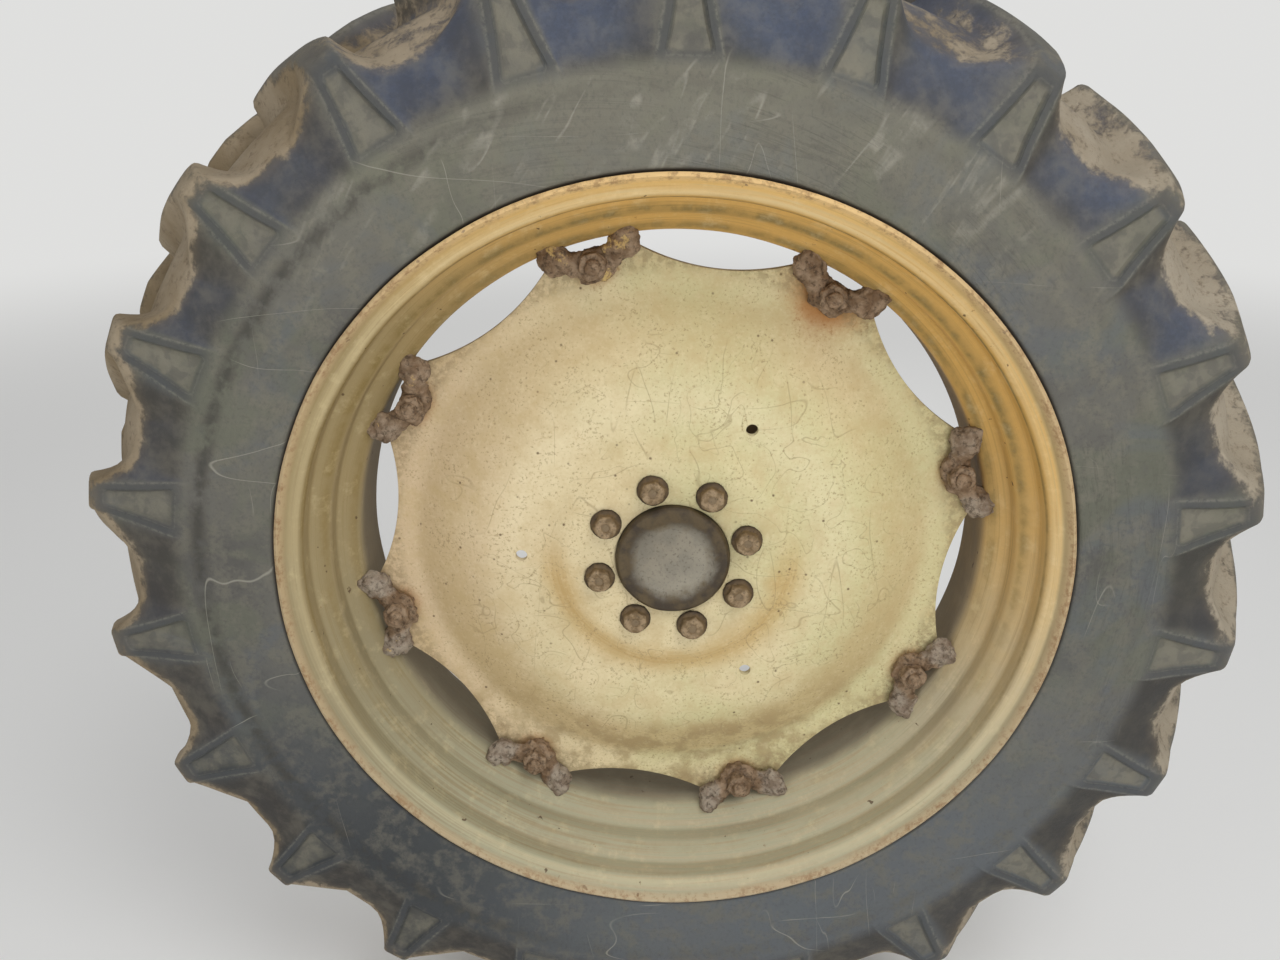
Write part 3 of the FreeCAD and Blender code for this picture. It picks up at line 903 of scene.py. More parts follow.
@dataclass(frozen=True)
class RimPaint(Finish):
    """Old golden-yellow wheel paint, golden high up and beige-grey low down as painted light, with bands
    of painted shade and rust freckles.
    """

    name: str = "golden_paint"
    # Lit and shaded copies of the paint: golden where lit high up, beige low down
    gold: Colour = paint(238, 198, 124)
    beige: Colour = paint(182, 170, 142)
    # Painted shade on the left and on the right-hand flange
    left_tan: Colour = paint(136, 128, 100)
    # Painted shade on the seats high up
    deep: Colour = paint(182, 136, 60)
    olive: Colour = paint(128, 108, 62)
    green_grey: Colour = paint(168, 168, 142)
    rust: Colour = paint(128, 88, 52)
    dark_rust: Colour = paint(84, 60, 40)
    pale: Colour = paint(232, 214, 170)
    pink: Colour = paint(204, 176, 140)
    # Painted shade inboard of the disc
    hidden: Colour = paint(92, 78, 62)
    lip_r: float = 0.5015
    disc_y: float = -0.424
    # Painted highlight along the flange: where it lies along the axle and half its width
    curl_y: float = -0.5295
    curl_half: float = 0.0055
    seat_r: float = 0.490
    # Columns: where a band of painted shade lies along the axle, half its width, its strength
    bands: tuple[Triple, ...] = ((-0.5205, 0.006, 0.85), (-0.4845, 0.008, 0.85), (-0.434, 0.009, 0.7))

    def recipe(self, r: Recipe) -> bpy.types.Material:
        """Painted light and shade by height and side, then painted shade in bands, a painted highlight,
        stains, freckles and a worn lip.

        Args:
            r: the recipe.

        Returns:
            The material.
        """
        radius = r.radius()
        cloud = r.noise(14.0, 5.0, 0.6)
        patch = r.noise(36.0, 4.0, 0.6)
        fine = r.noise(150.0, 5.0, 0.7)
        # Painted light: golden high up, beige low down
        up = (r.z / radius * 0.5 + 0.5 + cloud.swing(0.25)).rise(0.2, 0.8)
        r.colour = r.mix(up, self.beige, self.gold)
        # Painted shade on the bead seats high up, which face down
        seat = up * (1.0 - radius.rise(self.seat_r, self.seat_r + 0.008))
        r.coat(seat * 0.6, self.deep)
        # Painted shade: tan on the left, less of it high up, and on the right-hand flange
        left = (-r.x + cloud.swing(0.1)).rise(0.0, 0.42)
        r.coat(left * (0.8 - 0.45 * r.z.rise(0.3, 0.5)), self.left_tan)
        right = r.x.rise(0.15, 0.45) * radius.rise(self.seat_r, self.seat_r + 0.006)
        r.coat(right * 0.65, self.left_tan)
        streaks = r.noise(3.0, 5.0, 0.65, 0.0, r.combined(radius * 90.0, r.y * 90.0, r.x * 2.0 + r.z))
        r.coat(streaks.rise(0.48, 0.7) * 0.35, self.olive)
        # Painted shade in the rim's corners and steps, streaky and strongest high up
        for place, half, strength in self.bands:
            band = (r.y + streaks.swing(0.006)).line(place, half) * (0.5 + patch.rise(0.35, 0.6) * 0.5)
            r.coat((band * strength * (0.45 + 0.7 * up)).capped(), self.olive)
        low = (-r.z + cloud.swing(0.3)).rise(0.12, 0.42)
        r.coat(low * streaks.rise(0.4, 0.58) * 0.65, self.green_grey)
        r.coat((patch * 0.7 + fine * 0.3).rise(0.5, 0.7) * 0.22, self.pale)
        # Painted highlight in a line along the flange near its inner edge, stronger high up
        curl_glint = (r.y + streaks.swing(0.005)).line(self.curl_y, self.curl_half) * (0.4 + streaks)
        r.coat((curl_glint * (0.22 + 0.3 * r.z.rise(0.1, 0.5))).capped(), self.pale)
        dull = (1.0 - fine * 0.3 - streaks * 0.7).rise(0.45, 0.62)
        r.coat(dull * 0.14, self.olive)
        freckles = (fine * 0.7 + cloud * 0.3).rise(0.62, 0.68)
        r.coat(freckles * 0.5, self.rust)
        chips = r.noise(60.0, 3.0, 0.5).rise(0.71, 0.74)
        r.coat(chips * 0.8, self.dark_rust)
        # Painted shade on the rim's inside, inboard of the disc
        inside = (r.y - self.disc_y + cloud.swing(0.02)).rise(-0.006, 0.03)
        r.coat(inside * (0.45 + 0.4 * patch), self.hidden)
        lip = radius.rise(self.lip_r - 0.008, self.lip_r)
        r.coat(lip * 0.45, self.pink)
        worn = lip * (fine * 0.6 + patch * 0.4).rise(0.46, 0.62)
        r.coat(worn * 0.6, self.rust)
        roughness = 0.6 + 0.25 * fine + 0.2 * freckles
        height = fine * 0.35 + patch * 0.3 - chips * 0.5 - freckles * 0.2
        return r.done(roughness.capped(), height, 0.0012, specular=0.3)


@dataclass(frozen=True)
class DiscPaint(Finish):
    """Cream-green disc paint, darker in bands by painted shade and dirt, with painted light and shade by
    the hub, specks, scratches and rust from the clamps.
    """

    name: str = "cream_paint"
    cream: Colour = paint(216, 200, 160)
    green: Colour = paint(202, 194, 148)
    pale: Colour = paint(236, 224, 188)
    tan: Colour = paint(190, 166, 120)
    pink: Colour = paint(200, 174, 142)
    ochre: Colour = paint(186, 150, 86)
    grime: Colour = paint(138, 116, 80)
    speck: Colour = paint(98, 76, 52)
    orange: Colour = paint(166, 108, 52)
    hub_r: float = 0.145
    step_r: float = 0.170
    dish_r: float = 0.275
    band_end_r: float = 0.343
    corner_r: float = 0.372
    clamp_r: float = 0.400
    worst_clamp: float = 60.0

    def recipe(self, r: Recipe) -> bpy.types.Material:
        """Paint bands by radius, with painted shade and light, then mottling, specks, scratches and rust.

        Args:
            r: the recipe.

        Returns:
            The material.
        """
        radius = r.radius()
        broad = r.noise(5.0, 4.0, 0.55)
        cloud = r.noise(24.0, 5.0, 0.65)
        mottle = r.noise(95.0, 5.0, 0.7)
        fine = r.noise(260.0, 4.0, 0.7)
        r.colour = r.mix((broad + r.x * 0.35).rise(0.36, 0.68), self.cream, self.green)
        r.coat((-r.x + broad.swing(0.25)).rise(0.05, 0.36) * 0.7, self.pink)
        r.coat(cloud.rise(0.44, 0.68) * 0.45, self.tan)
        # Painted shade with dirt on the dished band
        r.coat(self.bands(r, radius, broad, cloud) * 0.7, self.tan)
        # More painted shade with dirt on the dish's lower part
        down = (-r.z + broad.swing(0.12)).rise(0.16, 0.34)
        dish_shade_and_dirt = down * radius.rise(self.dish_r - 0.02, self.dish_r + 0.02) * cloud.rise(0.42, 0.6)
        r.coat(dish_shade_and_dirt * 0.5, self.grime)
        streak = r.noise(4.0, 4.0, 0.6, 0.0, r.combined(radius * 110.0, r.x * 2.0, r.z * 2.0))
        # Painted shade in ochre on the lower half of the step round the hub
        ring = radius + broad.swing(0.03) + cloud.swing(0.02)
        crescent = ring.line((self.hub_r + self.step_r) / 2, 0.036) * (0.05 - r.z).rise(0.0, 0.09)
        r.coat((crescent * (0.35 + streak)).capped() * 0.75, self.ochre)
        # Painted shade: a little darker high up, more so on the left
        r.coat((r.z - r.x * 0.3).rise(0.08, 0.3) * 0.08, self.grime)
        # Painted light on the upper part of the flat face round the hub
        face = radius.line(0.215, 0.05) * (r.z + 0.1).rise(-0.2, 0.2)
        r.coat(face * 0.3, self.pale)
        r.coat((mottle * 0.6 + fine * 0.4).rise(0.51, 0.62) * 0.16, self.pale)
        r.coat((1.0 - mottle * 0.5 - fine * 0.5).rise(0.5, 0.62) * 0.3, self.tan)
        pits = (1.0 - fine * 0.75 - cloud * 0.25).rise(0.56, 0.62)
        r.coat(pits * 0.5, self.grime)
        specks = 1.0 - r.cells(46.0).rise(0.035, 0.12)
        specks = specks * r.noise(19.0, 2.0).rise(0.45, 0.56)
        r.coat(specks * 0.85, self.speck)
        marks = self.marks(r) * (1.0 - radius.rise(self.dish_r, self.band_end_r))
        r.coat(marks * 0.38, self.grime)
        rust = self.rust_round_clamps(r, cloud * 0.5 + fine * 0.5)
        r.coat((rust * (0.5 + fine)).capped() * 0.9, self.orange)
        rim_edge = radius.rise(self.corner_r - 0.006, self.corner_r + 0.012) * mottle.rise(0.4, 0.58)
        r.coat(rim_edge * 0.5, self.grime)
        roughness = (0.6 + 0.25 * fine + 0.2 * rust).capped()
        height = fine * 0.35 + mottle * 0.3 - specks * 0.3 - marks * 0.25 + rust * fine * 0.6
        return r.done(roughness, height, 0.0011, specular=0.3)

    def bands(self, r: Recipe, radius: Value, broad: Value, cloud: Value) -> Value:
        """Darker band where the disc is dished, stronger towards the bottom: painted shade with dirt.

        Args:
            r: the recipe.
            radius: distance from the wheel's axis.
            broad: broad noise.
            cloud: finer noise.

        Returns:
            Its mask.
        """
        place = radius + broad.swing(0.04) + cloud.swing(0.02)
        band = place.rise(self.dish_r - 0.02, self.dish_r + 0.025)
        band = band * (1.0 - place.rise(self.band_end_r - 0.012, self.band_end_r + 0.012))
        return band * (0.35 + 0.65 * (0.15 - r.z).rise(0.0, 0.4))

    @staticmethod
    def marks(r: Recipe) -> Value:
        """Scratches: short curls, and long marks in two directions.

        Args:
            r: the recipe.

        Returns:
            Their mask.
        """
        curls = r.noise(12.0, 1.5, 0.5, 0.5).line(0.46, 0.006) * r.noise(7.0, 2.0).rise(0.5, 0.58)
        steep = r.noise(6.0, 1.0, 0.4, 0.1, r.stretched(2.2, 1.0, 0.6)).line(0.52, 0.004)
        flat = r.noise(5.0, 1.0, 0.4, 0.1, r.stretched(0.7, 1.0, 2.6)).line(0.48, 0.003)
        gate = r.noise(9.0, 2.0).rise(0.45, 0.56)
        hairs = r.noise(17.0, 1.0, 0.4, 0.8).line(0.5, 0.005) * r.noise(5.5, 2.0).rise(0.48, 0.56)
        return (curls + hairs + (steep + flat) * gate).capped()

    def rust_round_clamps(self, r: Recipe, ragged: Value) -> Value:
        """Rust that bleeds from each clamp, most from the worst one.

        Args:
            r: the recipe.
            ragged: noise that makes its edge uneven.

        Returns:
            Its mask.
        """
        rust = r.near(self.worst_clamp, self.clamp_r, 0.08, ragged)
        for k in range(CORNERS):
            rust = rust.largest(r.near(CORNER_PHASE + 360.0 * k / CORNERS, self.clamp_r, 0.042, ragged))
        return rust


@dataclass(frozen=True)
class Rust(Finish):
    """Scaly rust, with old paint left on it in places."""

    name: str = "rusty_lug"
    brown: Colour = paint(116, 93, 70)
    pink: Colour = paint(152, 130, 106)
    grey: Colour = paint(128, 112, 96)
    pale_grey: Colour = paint(158, 146, 130)
    dark: Colour = paint(62, 48, 36)
    orange: Colour = paint(140, 96, 62)
    paint_left: Colour = paint(200, 172, 112)
    painted: float = 0.0
    scale: float = 1.0

    def recipe(self, r: Recipe) -> bpy.types.Material:
        """Scale, dry dirt on the feet and dark hollows, then what is left of the paint.

        Args:
            r: the recipe.

        Returns:
            The material.
        """
        cloud = r.noise(46.0 * self.scale, 5.0, 0.65)
        crumbs = r.noise(130.0 * self.scale, 5.0, 0.7)
        fine = r.noise(330.0 * self.scale, 4.0, 0.7)
        foot = (r.attribute("foot") + cloud.swing(1.1)).rise(0.2, 0.9) * (0.25 - r.z).rise(-0.1, 0.3)
        r.colour = r.mix(cloud.rise(0.36, 0.62), self.brown, self.pink)
        r.coat(r.noise(30.0, 3.0).rise(0.52, 0.66) * 0.1, self.orange)
        r.coat(foot, r.mix(cloud.rise(0.38, 0.6), self.grey, self.pale_grey))
        r.coat((1.0 - crumbs).rise(0.48, 0.64) * 0.7, self.dark)
        r.coat(fine.rise(0.55, 0.7) * 0.3, self.pale_grey)
        if self.painted:
            left = (r.noise(30.0, 4.0) * 0.7 + fine * 0.3).rise(0.62 - self.painted, 0.68 - self.painted)
            r.coat(left * 0.9, self.paint_left)
        height = cloud * 0.4 + crumbs * 0.7 + fine * 0.3
        return r.done((0.72 + 0.25 * fine).capped(), height, 0.0022, specular=0.25)


@dataclass(frozen=True)
class DuskySteel(Finish):
    """Dark oxidised steel with a paler, dusty middle on the faces that look outboard, faded by painted
    shade towards the upper left.
    """

    name: str = "dusky_steel"
    dark: Colour = paint(52, 40, 23)
    pale: Colour = paint(158, 152, 136)
    brown: Colour = paint(82, 67, 40)
    spot: Colour = paint(58, 48, 40)
    stud_end: Colour = paint(128, 108, 80)
    pale_r: float = 0.062
    stud_in_r: float = 0.090

    def recipe(self, r: Recipe) -> bpy.types.Material:
        """Dark ring, pale dished middle and brown mottling.

        Args:
            r: the recipe.

        Returns:
            The material.
        """
        radius = r.radius()
        cloud = r.noise(34.0, 5.0, 0.6)
        fine = r.noise(210.0, 5.0, 0.7)
        r.colour = r.mix(cloud.rise(0.4, 0.62), self.dark, self.brown)
        middle = 1.0 - (radius + cloud.swing(0.04)).rise(self.pale_r - 0.02, self.pale_r)
        outboard = (-0.3 - r.y).rise(0.0, 0.05)
        # Dust in the middle, with painted shade fading it towards the upper left and painted light lifting
        # it towards the lower right
        dust_and_shade = (0.5 + 0.5 * cloud) * (0.82 + (r.x - r.z) * 3.0)
        r.coat((middle * outboard * dust_and_shade).capped(), self.pale)
        stud = radius.rise(self.stud_in_r, self.stud_in_r + 0.002) * outboard
        r.coat(stud * 0.85, self.stud_end)
        r.coat(fine.rise(0.52, 0.68) * 0.5, self.spot)
        height = cloud * 0.4 + fine * 0.4
        return r.done((0.45 + 0.35 * fine).capped(), height, 0.0008, specular=0.5)


@dataclass(frozen=True)
class NutSteel(Finish):
    """Brown weathered nut steel, dark in the root and paler towards the tip as a painted highlight."""

    name: str = "weathered_nut"
    brown: Colour = paint(109, 88, 58)
    pale: Colour = paint(152, 130, 100)
    dark: Colour = paint(50, 37, 23)
    root_y: float = -0.4705
    height: float = 0.018

    def recipe(self, r: Recipe) -> bpy.types.Material:
        """Colour by distance from the disc's face.

        Args:
            r: the recipe.

        Returns:
            The material.
        """
        fine = r.noise(260.0, 5.0, 0.7)
        cloud = r.noise(90.0, 4.0, 0.6)
        out = (self.root_y - r.y) / self.height + cloud.swing(0.5)
        r.colour = r.mix(out.rise(0.1, 0.55), self.dark, self.brown)
        # Painted highlight towards the nut's tip
        r.coat(out.rise(0.6, 1.0) * cloud.rise(0.35, 0.62), self.pale)
        r.coat((1.0 - fine).rise(0.5, 0.7) * 0.7, self.dark)
        height = cloud * 0.5 + fine * 0.5
        return r.done((0.55 + 0.3 * fine).capped(), height, 0.0008, specular=0.45)


@dataclass(frozen=True)
class CastIron(Finish):
    """Sand-cast iron with grimy dark paint, dust on top and rust in places."""

    name: str = "cast_iron"
    grime: Colour = paint(76, 70, 62)
    dust: Colour = paint(128, 115, 96)
    rust: Colour = paint(110, 78, 54)

    def recipe(self, r: Recipe) -> bpy.types.Material:
        """Grime, rust clouds and dust on what faces up.

        Args:
            r: the recipe.

        Returns:
            The material.
        """
        cloud = r.noise(16.0, 5.0, 0.6)
        fine = r.noise(240.0, 4.0, 0.7)
        r.colour = r.mix(cloud.rise(0.45, 0.7) * 0.7, self.grime, self.rust)
        r.coat((r.z * 9.0 + cloud - 0.3).capped() * 0.6, self.dust)
        height = cloud * 0.3 + fine * 0.7
        return r.done((0.6 + 0.3 * fine).capped(), height, 0.0012, specular=0.4)


@dataclass(frozen=True)
class ValveRubber(Finish):
    """Black valve rubber with settled dust."""

    name: str = "dusty_valve"
    black: Colour = paint(46, 45, 43)
    dust: Colour = paint(112, 104, 88)

    def recipe(self, r: Recipe) -> bpy.types.Material:
        """Black, with dust where the noise is high.

        Args:
            r: the recipe.

        Returns:
            The material.
        """
        cloud = r.noise(120.0, 4.0, 0.6)
        r.colour = r.mix(cloud.rise(0.45, 0.7) * 0.6, self.black, self.dust)
        return r.done((0.6 + 0.3 * cloud).capped(), cloud, 0.0004)


@dataclass(frozen=True)
class Floor(Finish):
    """Pale matt studio floor that runs into the backdrop's tone far from the wheel."""

    name: str = "studio_floor"
    tone: Colour = (0.86, 0.86, 0.85, 1.0)
    black: Colour = (0.0, 0.0, 0.0, 1.0)
    backdrop: Colour = (0.74, 0.74, 0.73, 1.0)
    fade_start: float = 1.8
    fade_end: float = 7.5

    def recipe(self, r: Recipe) -> bpy.types.Material:
        """Lit paint near the wheel, even glow far away.

        Args:
            r: the recipe.

        Returns:
            The material.
        """
        distance = (r.x * r.x + r.y * r.y).root()
        far = distance.rise(self.fade_start, self.fade_end)
        glow = r.mix(far, self.black, self.backdrop)
        r.connect(r.shader.inputs["Emission Color"], glow)
        r.connect(r.shader.inputs["Emission Strength"], 1.0)
        r.colour = r.mix(far, self.tone, self.black)
        return r.done(0.95, specular=0.0)


# Sub-assemblies

@dataclass(frozen=True)
class Station:
    """One station of the tyre's section, from the crown over the side to the inside."""

    rows: int
    base_w: float
    base_r: float
    top_w: float
    top_r: float
    lift: float = 0.0
    top_half: float = 36.0
    foot_half: float = 42.0
    pocket_half: float = 20.0
    pocket: float = 0.0
    mud: float = 0.0
    even: float = 0.0


@dataclass
class Tyre:
    """Barred tractor tyre: one pitch of one side is shaped, then repeated and mirrored."""

    bars: int = 22
    phase: float = 7.5
    end_w: float = 162.0
    bend_w: float = 108.0
    outer_slope: float = 0.30
    inner_slope: float = 1.0
    crown_r: float = 775.0
    wall: float = 5.5
    # Where the rounding of a bar's edge has points, and how high it is there
    edge_shares: tuple[float, ...] = (0.0, 0.32, 0.7)
    edge_heights: tuple[float, ...] = (0.86, 0.955, 0.99)
    flank_power: float = 2.2
    gentle_power: float = 1.05
    gentle_foot: float = 1.2
    # Height and size of the worn surface's waves and their seed
    wear: Triple = (1.1, 55.0, 3)
    doubles: float = 2e-5
    valley_columns: int = 3
    flank_shares: tuple[float, ...] = (0.0, 0.3, 0.52, 0.7, 0.84, 0.94)
    recess: float = 6.5
    top_mud: float = 0.62
    # Columns: rows, base w, r, top w, r, lift, top, foot and pocket half widths, pocket depth, mud, even
    stations: list[Station] = field(default_factory=lambda: [
        Station(0, 0, 735, 0, 775, 0.0, 27, 44, 12, 0, 0.8, 1),
        Station(1, 4, 735, 4, 775, 0.0, 27, 44, 12, 0, 0.8),
        Station(1, 7, 735, 7.5, 775, 0.55, 27, 44, 12, 0, 0.7),
        Station(1, 9, 735, 11, 775, 0.96, 27, 44, 12, 0, 0.7),
        Station(1, 13, 735, 14, 775, 1.0, 27, 44, 12, 0, 0.7),
        Station(4, 45, 734.5, 46, 774.2, 1.0, 27, 45, 12, 0, 0.7),
        Station(4, 84, 731, 85, 769, 1.0, 27, 47, 12, 0, 0.75),
        Station(3, 112, 718, 110, 762, 1.0, 27, 56, 12, 0, 0.8),
        Station(3, 130, 706, 134, 752.5, 1.0, 24, 64, 11, 0, 0.8),
        Station(2, 141, 697.5, 151, 745, 1.0, 21.5, 70, 9, 0, 0.75),
        Station(1, 144, 695, 157, 740.5, 1.0, 21, 72, 8, 0, 0.7),
        Station(1, 146.5, 692.5, 160.6, 735.5, 1.0, 21, 72, 7, 0, 0.62),
        Station(1, 148.5, 690, 162.6, 730, 1.0, 21, 72, 7, 0, 0.54),
        Station(1, 150.5, 687, 163.8, 724, 1.0, 21.5, 71.5, 7, 0, 0.47),
        Station(1, 152, 685, 164.6, 719, 1.0, 22, 71, 7, 3.0, 0.42),
        Station(1, 154, 681.5, 165.3, 713.5, 1.0, 22.7, 70, 7.6, 6.5, 0.34),
        Station(6, 167.2, 650, 171.7, 658, 1.0, 32, 57, 17, 6.5, 0.05),
        Station(3, 171.4, 633, 174.4, 638, 1.0, 36, 49.5, 21.5, 6.5, 0),
        Station(1, 172, 629, 174.7, 632.5, 1.0, 37, 48.5, 22, 3.0, 0),
        Station(1, 172.4, 625, 175, 626.5, 1.0, 37.7, 47.5, 22, 0, 0),
        Station(1, 173, 618, 175.4, 617.5, 0.95, 39, 46, 22, 0, 0),
        Station(2, 173.9, 610, 175.0, 610, 0.6, 40, 45, 20, 0, 0),
        Station(1, 174.2, 605, 174.2, 605),
        Station(2, 174.3, 594, 174.3, 594),
        Station(2, 174.7, 578, 174.7, 578),
        Station(4, 170.9, 542, 170.9, 542),
        Station(2, 168.6, 524, 168.6, 524),
        Station(1, 168.6, 515.5, 168.6, 515.5),
        Station(1, 167.4, 512, 167.4, 512),
        Station(1, 163, 508.8, 163, 508.8),
        Station(2, 152.4, 501, 152.4, 501),
        Station(2, 152.1, 483.2, 152.1, 483.2),
        Station(1, 122.7, 483.0, 122.7, 483.0),
        Station(1, 120, 492, 120, 492, even=0.2),
        Station(1, 140, 540, 140, 540, even=0.4),
        Station(2, 156, 600, 156, 600, even=0.6),
        Station(2, 130, 662, 130, 662, even=0.8),
        Station(1, 80, 690, 80, 690, even=0.9),
        Station(1, 0, 697, 0, 697, even=1),
    ])

    def rows(self) -> dict[str, np.ndarray]:
        """Every value of the stations, row by row.

        Returns:
            For each value its name and its row of numbers.
        """
        knots = np.cumsum([station.rows for station in self.stations]).astype(float)
        at = np.arange(int(knots[-1]) + 1, dtype=float)
        names = [name for name in Station.__dataclass_fields__ if name != "rows"]
        return {name: gently(knots, [getattr(s, name) for s in self.stations], at) for name in names}

    def columns(self, row: dict[str, float], pitch: float) -> tuple[np.ndarray, np.ndarray, np.ndarray]:
        """Columns of one row.

        Args:
            row: the values of this row.
            pitch: the angle from bar to bar in radians.

        Returns:
            The angles of the columns from the bar's middle, their lift and their share of the pocket.
        """
        gentle = min(max((row["top_w"] - self.bend_w) / (self.end_w - self.bend_w), 0.0), 1.0)
        below, climb = self.half_row(row, pitch, 0.0)
        above, ease = self.half_row(row, pitch, gentle)
        inside = [0.0] * (len(below) - 2) + [1.0, 1.0]
        angles = np.concatenate([-below, [0.0], above[::-1]])
        lift = np.array(climb + [1.0] + ease[::-1])
        recess = np.array(inside + [1.0] + inside[::-1])
        level = np.linspace(-pitch / 2, pitch / 2, len(angles))
        return angles * (1 - row["even"]) + level * row["even"], lift, recess

    def half_row(self, row: dict[str, float], pitch: float,
                 gentle: float) -> tuple[np.ndarray, list[float]]:
        """One side of a bar, from the middle of the valley to the middle of the pocket.

        Args:
            row: the values of this row.
            pitch: the angle from bar to bar in radians.
            gentle: how far this side's flank is the gentle one, from 0 to 1.

        Returns:
            The distances of the columns from the bar's middle in radians, and their heights.
        """
        top = row["top_half"] / row["top_r"]
        foot = row["foot_half"] / row["base_r"] * (1.0 + (self.gentle_foot - 1.0) * gentle)
        pocket = row["pocket_half"] / row["top_r"]
        frame = min(pocket + self.wall / row["top_r"], top)
        valley = np.linspace(pitch / 2, foot, self.valley_columns + 1)[:-1]
        flank = [foot + (top - foot) * share for share in self.flank_shares]
        head = [top + (frame - top) * share for share in self.edge_shares]
        power = self.flank_power + (self.gentle_power - self.flank_power) * gentle
        low = [self.edge_heights[0] * share ** power for share in self.flank_shares]
        heights = [0.0] * len(valley) + low + list(self.edge_heights) + [1.0] * 3
        return np.concatenate([valley, flank, head, [frame, pocket, pocket / 2]]), heights

    def bar_middle(self, top_w: float) -> float:
        """How far a bar's middle lies along the tread at a width, for the bar's slant."""
        outer, inner = self.end_w - max(top_w, self.bend_w), max(self.bend_w - top_w, 0.0)
        return outer * self.outer_slope + inner * self.inner_slope

    def surface(self, pitch: float) -> list[tuple[np.ndarray, ...]]:
        """Every row of one pitch.

        Args:
            pitch: the angle from bar to bar in radians.

        Returns:
            For each row the columns' angles, widths, radii, lift, share of the pocket and mud.
        """
        rows = self.rows()
        table = []
        for index in range(len(rows["lift"])):
            row = {name: values[index] for name, values in rows.items()}
            angles, lift, recess = self.columns(row, pitch)
            angles = angles + self.bar_middle(row["top_w"]) / self.crown_r
            share = lift * row["lift"]
            depth = recess * row["pocket"]
            w = row["base_w"] + (row["top_w"] - row["base_w"]) * share - depth
            radius = row["base_r"] + (row["top_r"] - row["base_r"]) * share
            mud = row["mud"] * (1.0 - (1.0 - self.top_mud) * share ** 3)
            table.append((angles, w, radius, share, depth / self.recess, mud))
        return table

    def pitch_mesh(self) -> Work:
        """One pitch of the outboard side, about angle zero: a grid bent to the surface.

        Returns:
            The open mesh.
        """
        table = self.surface(2 * pi / self.bars)
        count, width = len(table), len(table[0][0])
        work = Work.start("barred_tyre", Primitive.GRID, size=2,
                          x_subdivisions=width - 1, y_subdivisions=count - 1)
        kept = []
        for vertex in work.piece.data.vertices:
            column = round((vertex.co.x + 1) / 2 * (width - 1))
            row = round((vertex.co.y + 1) / 2 * (count - 1))
            angle, w, r, *marks = (values[column] for values in table[row])
            vertex.co = Vector((r * cos(angle), CENTRE_Y - w, r * sin(angle))) * MM
            kept.append(marks)
        for name, values in zip(("lift", "pocket", "mud"), np.array(kept).T):
            work.noted(name, values)
        return work

    def build(self) -> bpy.types.Object:
        """Both sides joined, worn a little and dressed. The finish reads how far a point faces up.

        Returns:
            The tyre.
        """
        outboard = self.pitch_mesh()
        mirror = Matrix.Translation((0, 2 * CENTRE_Y * MM, 0)) @ Matrix.Scale(-1, 4, (0, 1, 0))
        inboard = outboard.copied().placed(mirror)
        inboard.repeated(self.bars, self.phase + 180.0 / self.bars)
        outboard.repeated(self.bars, self.phase)
        work = outboard.joined([inboard]).tidied(self.doubles)
        work.roughened(self.wear).smooth(40.0)
        # How far each point faces up, read by the finish for its painted sky reflection
        work.noted("sky", work.points("vertex_normals", "vector")[:, 2].copy())
        return work.handed_over(FieldRubber(), Body.WHEEL, "tyre", "tyre")


@dataclass
class Rim:
    """Drop-centre rim rolled from one sheet."""

    sheet: float = 6.0
    steps: int = 240
    lip_edge: float = 1.6
    waves: Triple = (0.9, 90.0, 5)
    # Columns: w, r and corner radius on the tyre's side, from the lip to the well
    half: tuple[Triple, ...] = (
        (169.2, 508.0, 0.0),
        (152.6, 497.5, 15.0),
        (152.4, 482.6, 9.0),
        (118.4, 482.6, 13.0),
        (103.9, 458.5, 12.0),
        (74.9, 458.5, 14.0),
        (50.9, 432.0, 14.0),
    )

    def build(self) -> bpy.types.Object:
        """Turns the sheet's outline, rounds its lips and dresses it.

        Returns:
            The rim.
        """
        outboard = [(r, CENTRE_Y - w, radius) for w, r, radius in self.half]
        inboard = [(r, CENTRE_Y + w, radius) for w, r, radius in reversed(self.half)]
        line = rounded(outboard + inboard)
        work = Work.turned("rolled_rim", thickened(line, -self.sheet), self.steps)
        work.bevelled(self.lip_edge, 2, 50.0).roughened(self.waves).smooth(50.0)
        return work.handed_over(RimPaint(), Body.WHEEL, "rim_paint", "rim")


